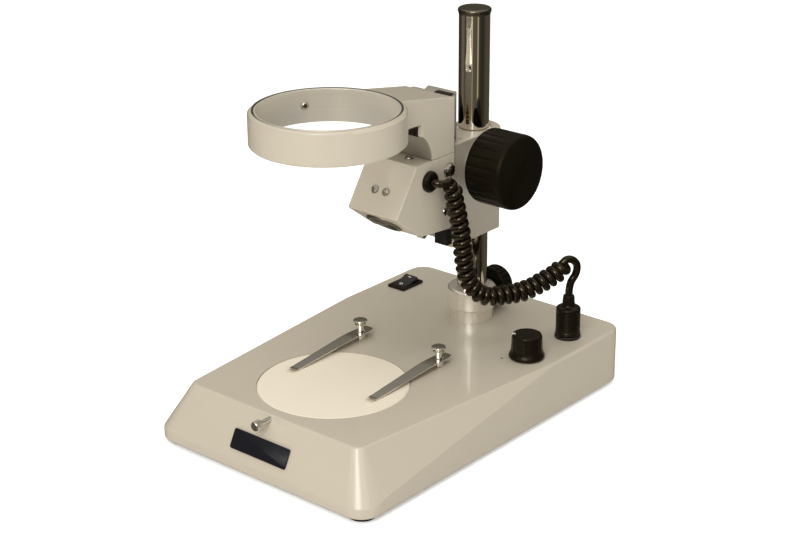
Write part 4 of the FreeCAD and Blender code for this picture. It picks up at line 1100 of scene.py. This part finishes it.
def make_floor():
    bm = bmesh.new()
    bmesh.ops.create_grid(bm, x_segments=2, y_segments=2, size=8.0)
    mesh = mesh_of("floor", bm)
    obj = bpy.data.objects.new("floor", mesh)
    bpy.context.scene.collection.objects.link(obj)
    material, tree, bsdf = new_material("floor")
    bsdf.inputs["Base Color"].default_value = (0.93, 0.93, 0.93, 1)
    bsdf.inputs["Roughness"].default_value = 0.9
    bsdf.inputs["Emission Color"].default_value = (1, 1, 1, 1)
    bsdf.inputs["Emission Strength"].default_value = 0.38
    mesh.materials.append(material)
    obj.visible_glossy = False


def make_world():
    """A dim studio for chrome to mirror, with bright strips low down; the camera sees white."""
    world = bpy.data.worlds.new("studio")
    bpy.context.scene.world = world
    world.use_nodes = True
    tree = world.node_tree
    coords = add(tree, "ShaderNodeTexCoord").outputs["Generated"]
    split = add(tree, "ShaderNodeSeparateXYZ")
    tree.links.new(coords, split.inputs["Vector"])
    height = add(tree, "ShaderNodeMapRange")
    height.inputs["From Min"].default_value = -1.0
    height.inputs["From Max"].default_value = 1.0
    tree.links.new(split.outputs["Z"], height.inputs["Value"])
    sky = ramp_of(tree, height.outputs["Result"], [
        (0.0, (0.10, 0.085, 0.06)), (0.50, (0.16, 0.14, 0.10)), (0.72, (0.11, 0.10, 0.075)),
        (0.84, (0.5, 0.48, 0.44)), (1.0, (0.9, 0.89, 0.86))])
    forward = add(tree, "ShaderNodeMath", operation="MULTIPLY")
    forward.inputs[1].default_value = -1.0
    tree.links.new(split.outputs["Y"], forward.inputs[0])
    around = add(tree, "ShaderNodeMath", operation="ARCTAN2")
    tree.links.new(split.outputs["X"], around.inputs[0])
    tree.links.new(forward.outputs["Value"], around.inputs[1])
    bearing = add(tree, "ShaderNodeMapRange")
    bearing.inputs["From Min"].default_value = -math.pi
    bearing.inputs["From Max"].default_value = math.pi
    tree.links.new(around.outputs["Value"], bearing.inputs["Value"])
    # Degrees round from the front, and how bright the studio is there.
    bands = [(-180, 0.7), (-110, 0.3), (-80, 0.25), (-58, 1.1), (-45, 0.9), (-32, 0.4), (-5, 0.9),
             (16, 1.0), (19, 6.0), (23, 6.0), (26, 0.8), (58, 0.6), (64, 3.2), (67, 3.2),
             (73, 0.4), (96, 0.2), (118, 0.3), (135, 0.6), (160, 0.5), (180, 0.6)]
    strips = ramp_of(tree, bearing.outputs["Result"],
                     [((a + 180) / 360, (b, b, b)) for a, b in bands])
    low_down = add(tree, "ShaderNodeMapRange")
    low_down.inputs["From Min"].default_value = 0.45
    low_down.inputs["From Max"].default_value = 0.60
    tree.links.new(height.outputs["Result"], low_down.inputs["Value"])
    mix = add(tree, "ShaderNodeMix", data_type="RGBA")
    tree.links.new(low_down.outputs["Result"], mix.inputs["Factor"])
    tree.links.new(strips, mix.inputs[6])
    mix.inputs[7].default_value = (1, 1, 1, 1)
    both = add(tree, "ShaderNodeMix", data_type="RGBA", blend_type="MULTIPLY")
    both.inputs["Factor"].default_value = 1.0
    tree.links.new(sky, both.inputs[6])
    tree.links.new(mix.outputs[2], both.inputs[7])
    seen = add(tree, "ShaderNodeMix", data_type="RGBA")
    tree.links.new(add(tree, "ShaderNodeLightPath").outputs["Is Camera Ray"], seen.inputs["Factor"])
    tree.links.new(both.outputs[2], seen.inputs[6])
    seen.inputs[7].default_value = (1, 1, 1, 1)
    background = tree.nodes["Background"]
    tree.links.new(seen.outputs[2], background.inputs["Color"])
    background.inputs["Strength"].default_value = 1.0


make_floor()
make_world()
WARM_LIGHT = (1.0, 0.985, 0.955)
AIM = (0.0, 0.0, 0.08)
emitter("key", (0.60, -1.33, 1.10), AIM, 0.8, 0.8, 17.0, WARM_LIGHT)
emitter("strip_left", (-0.45, -1.25, 0.85), AIM, 0.10, 0.7, 1.2, WARM_LIGHT)
emitter("strip_right", (0.80, -0.42, 0.50), AIM, 0.08, 0.6, 0.5, WARM_LIGHT)
overhead = emitter("top", (0.1, 0.2, 2.2), AIM, 2.6, 2.6, 26.0)
overhead.visible_glossy = False

scene = bpy.context.scene
scene.view_settings.view_transform = "Standard"
scene.view_settings.look = "None"
scene.view_settings.exposure = 0.0
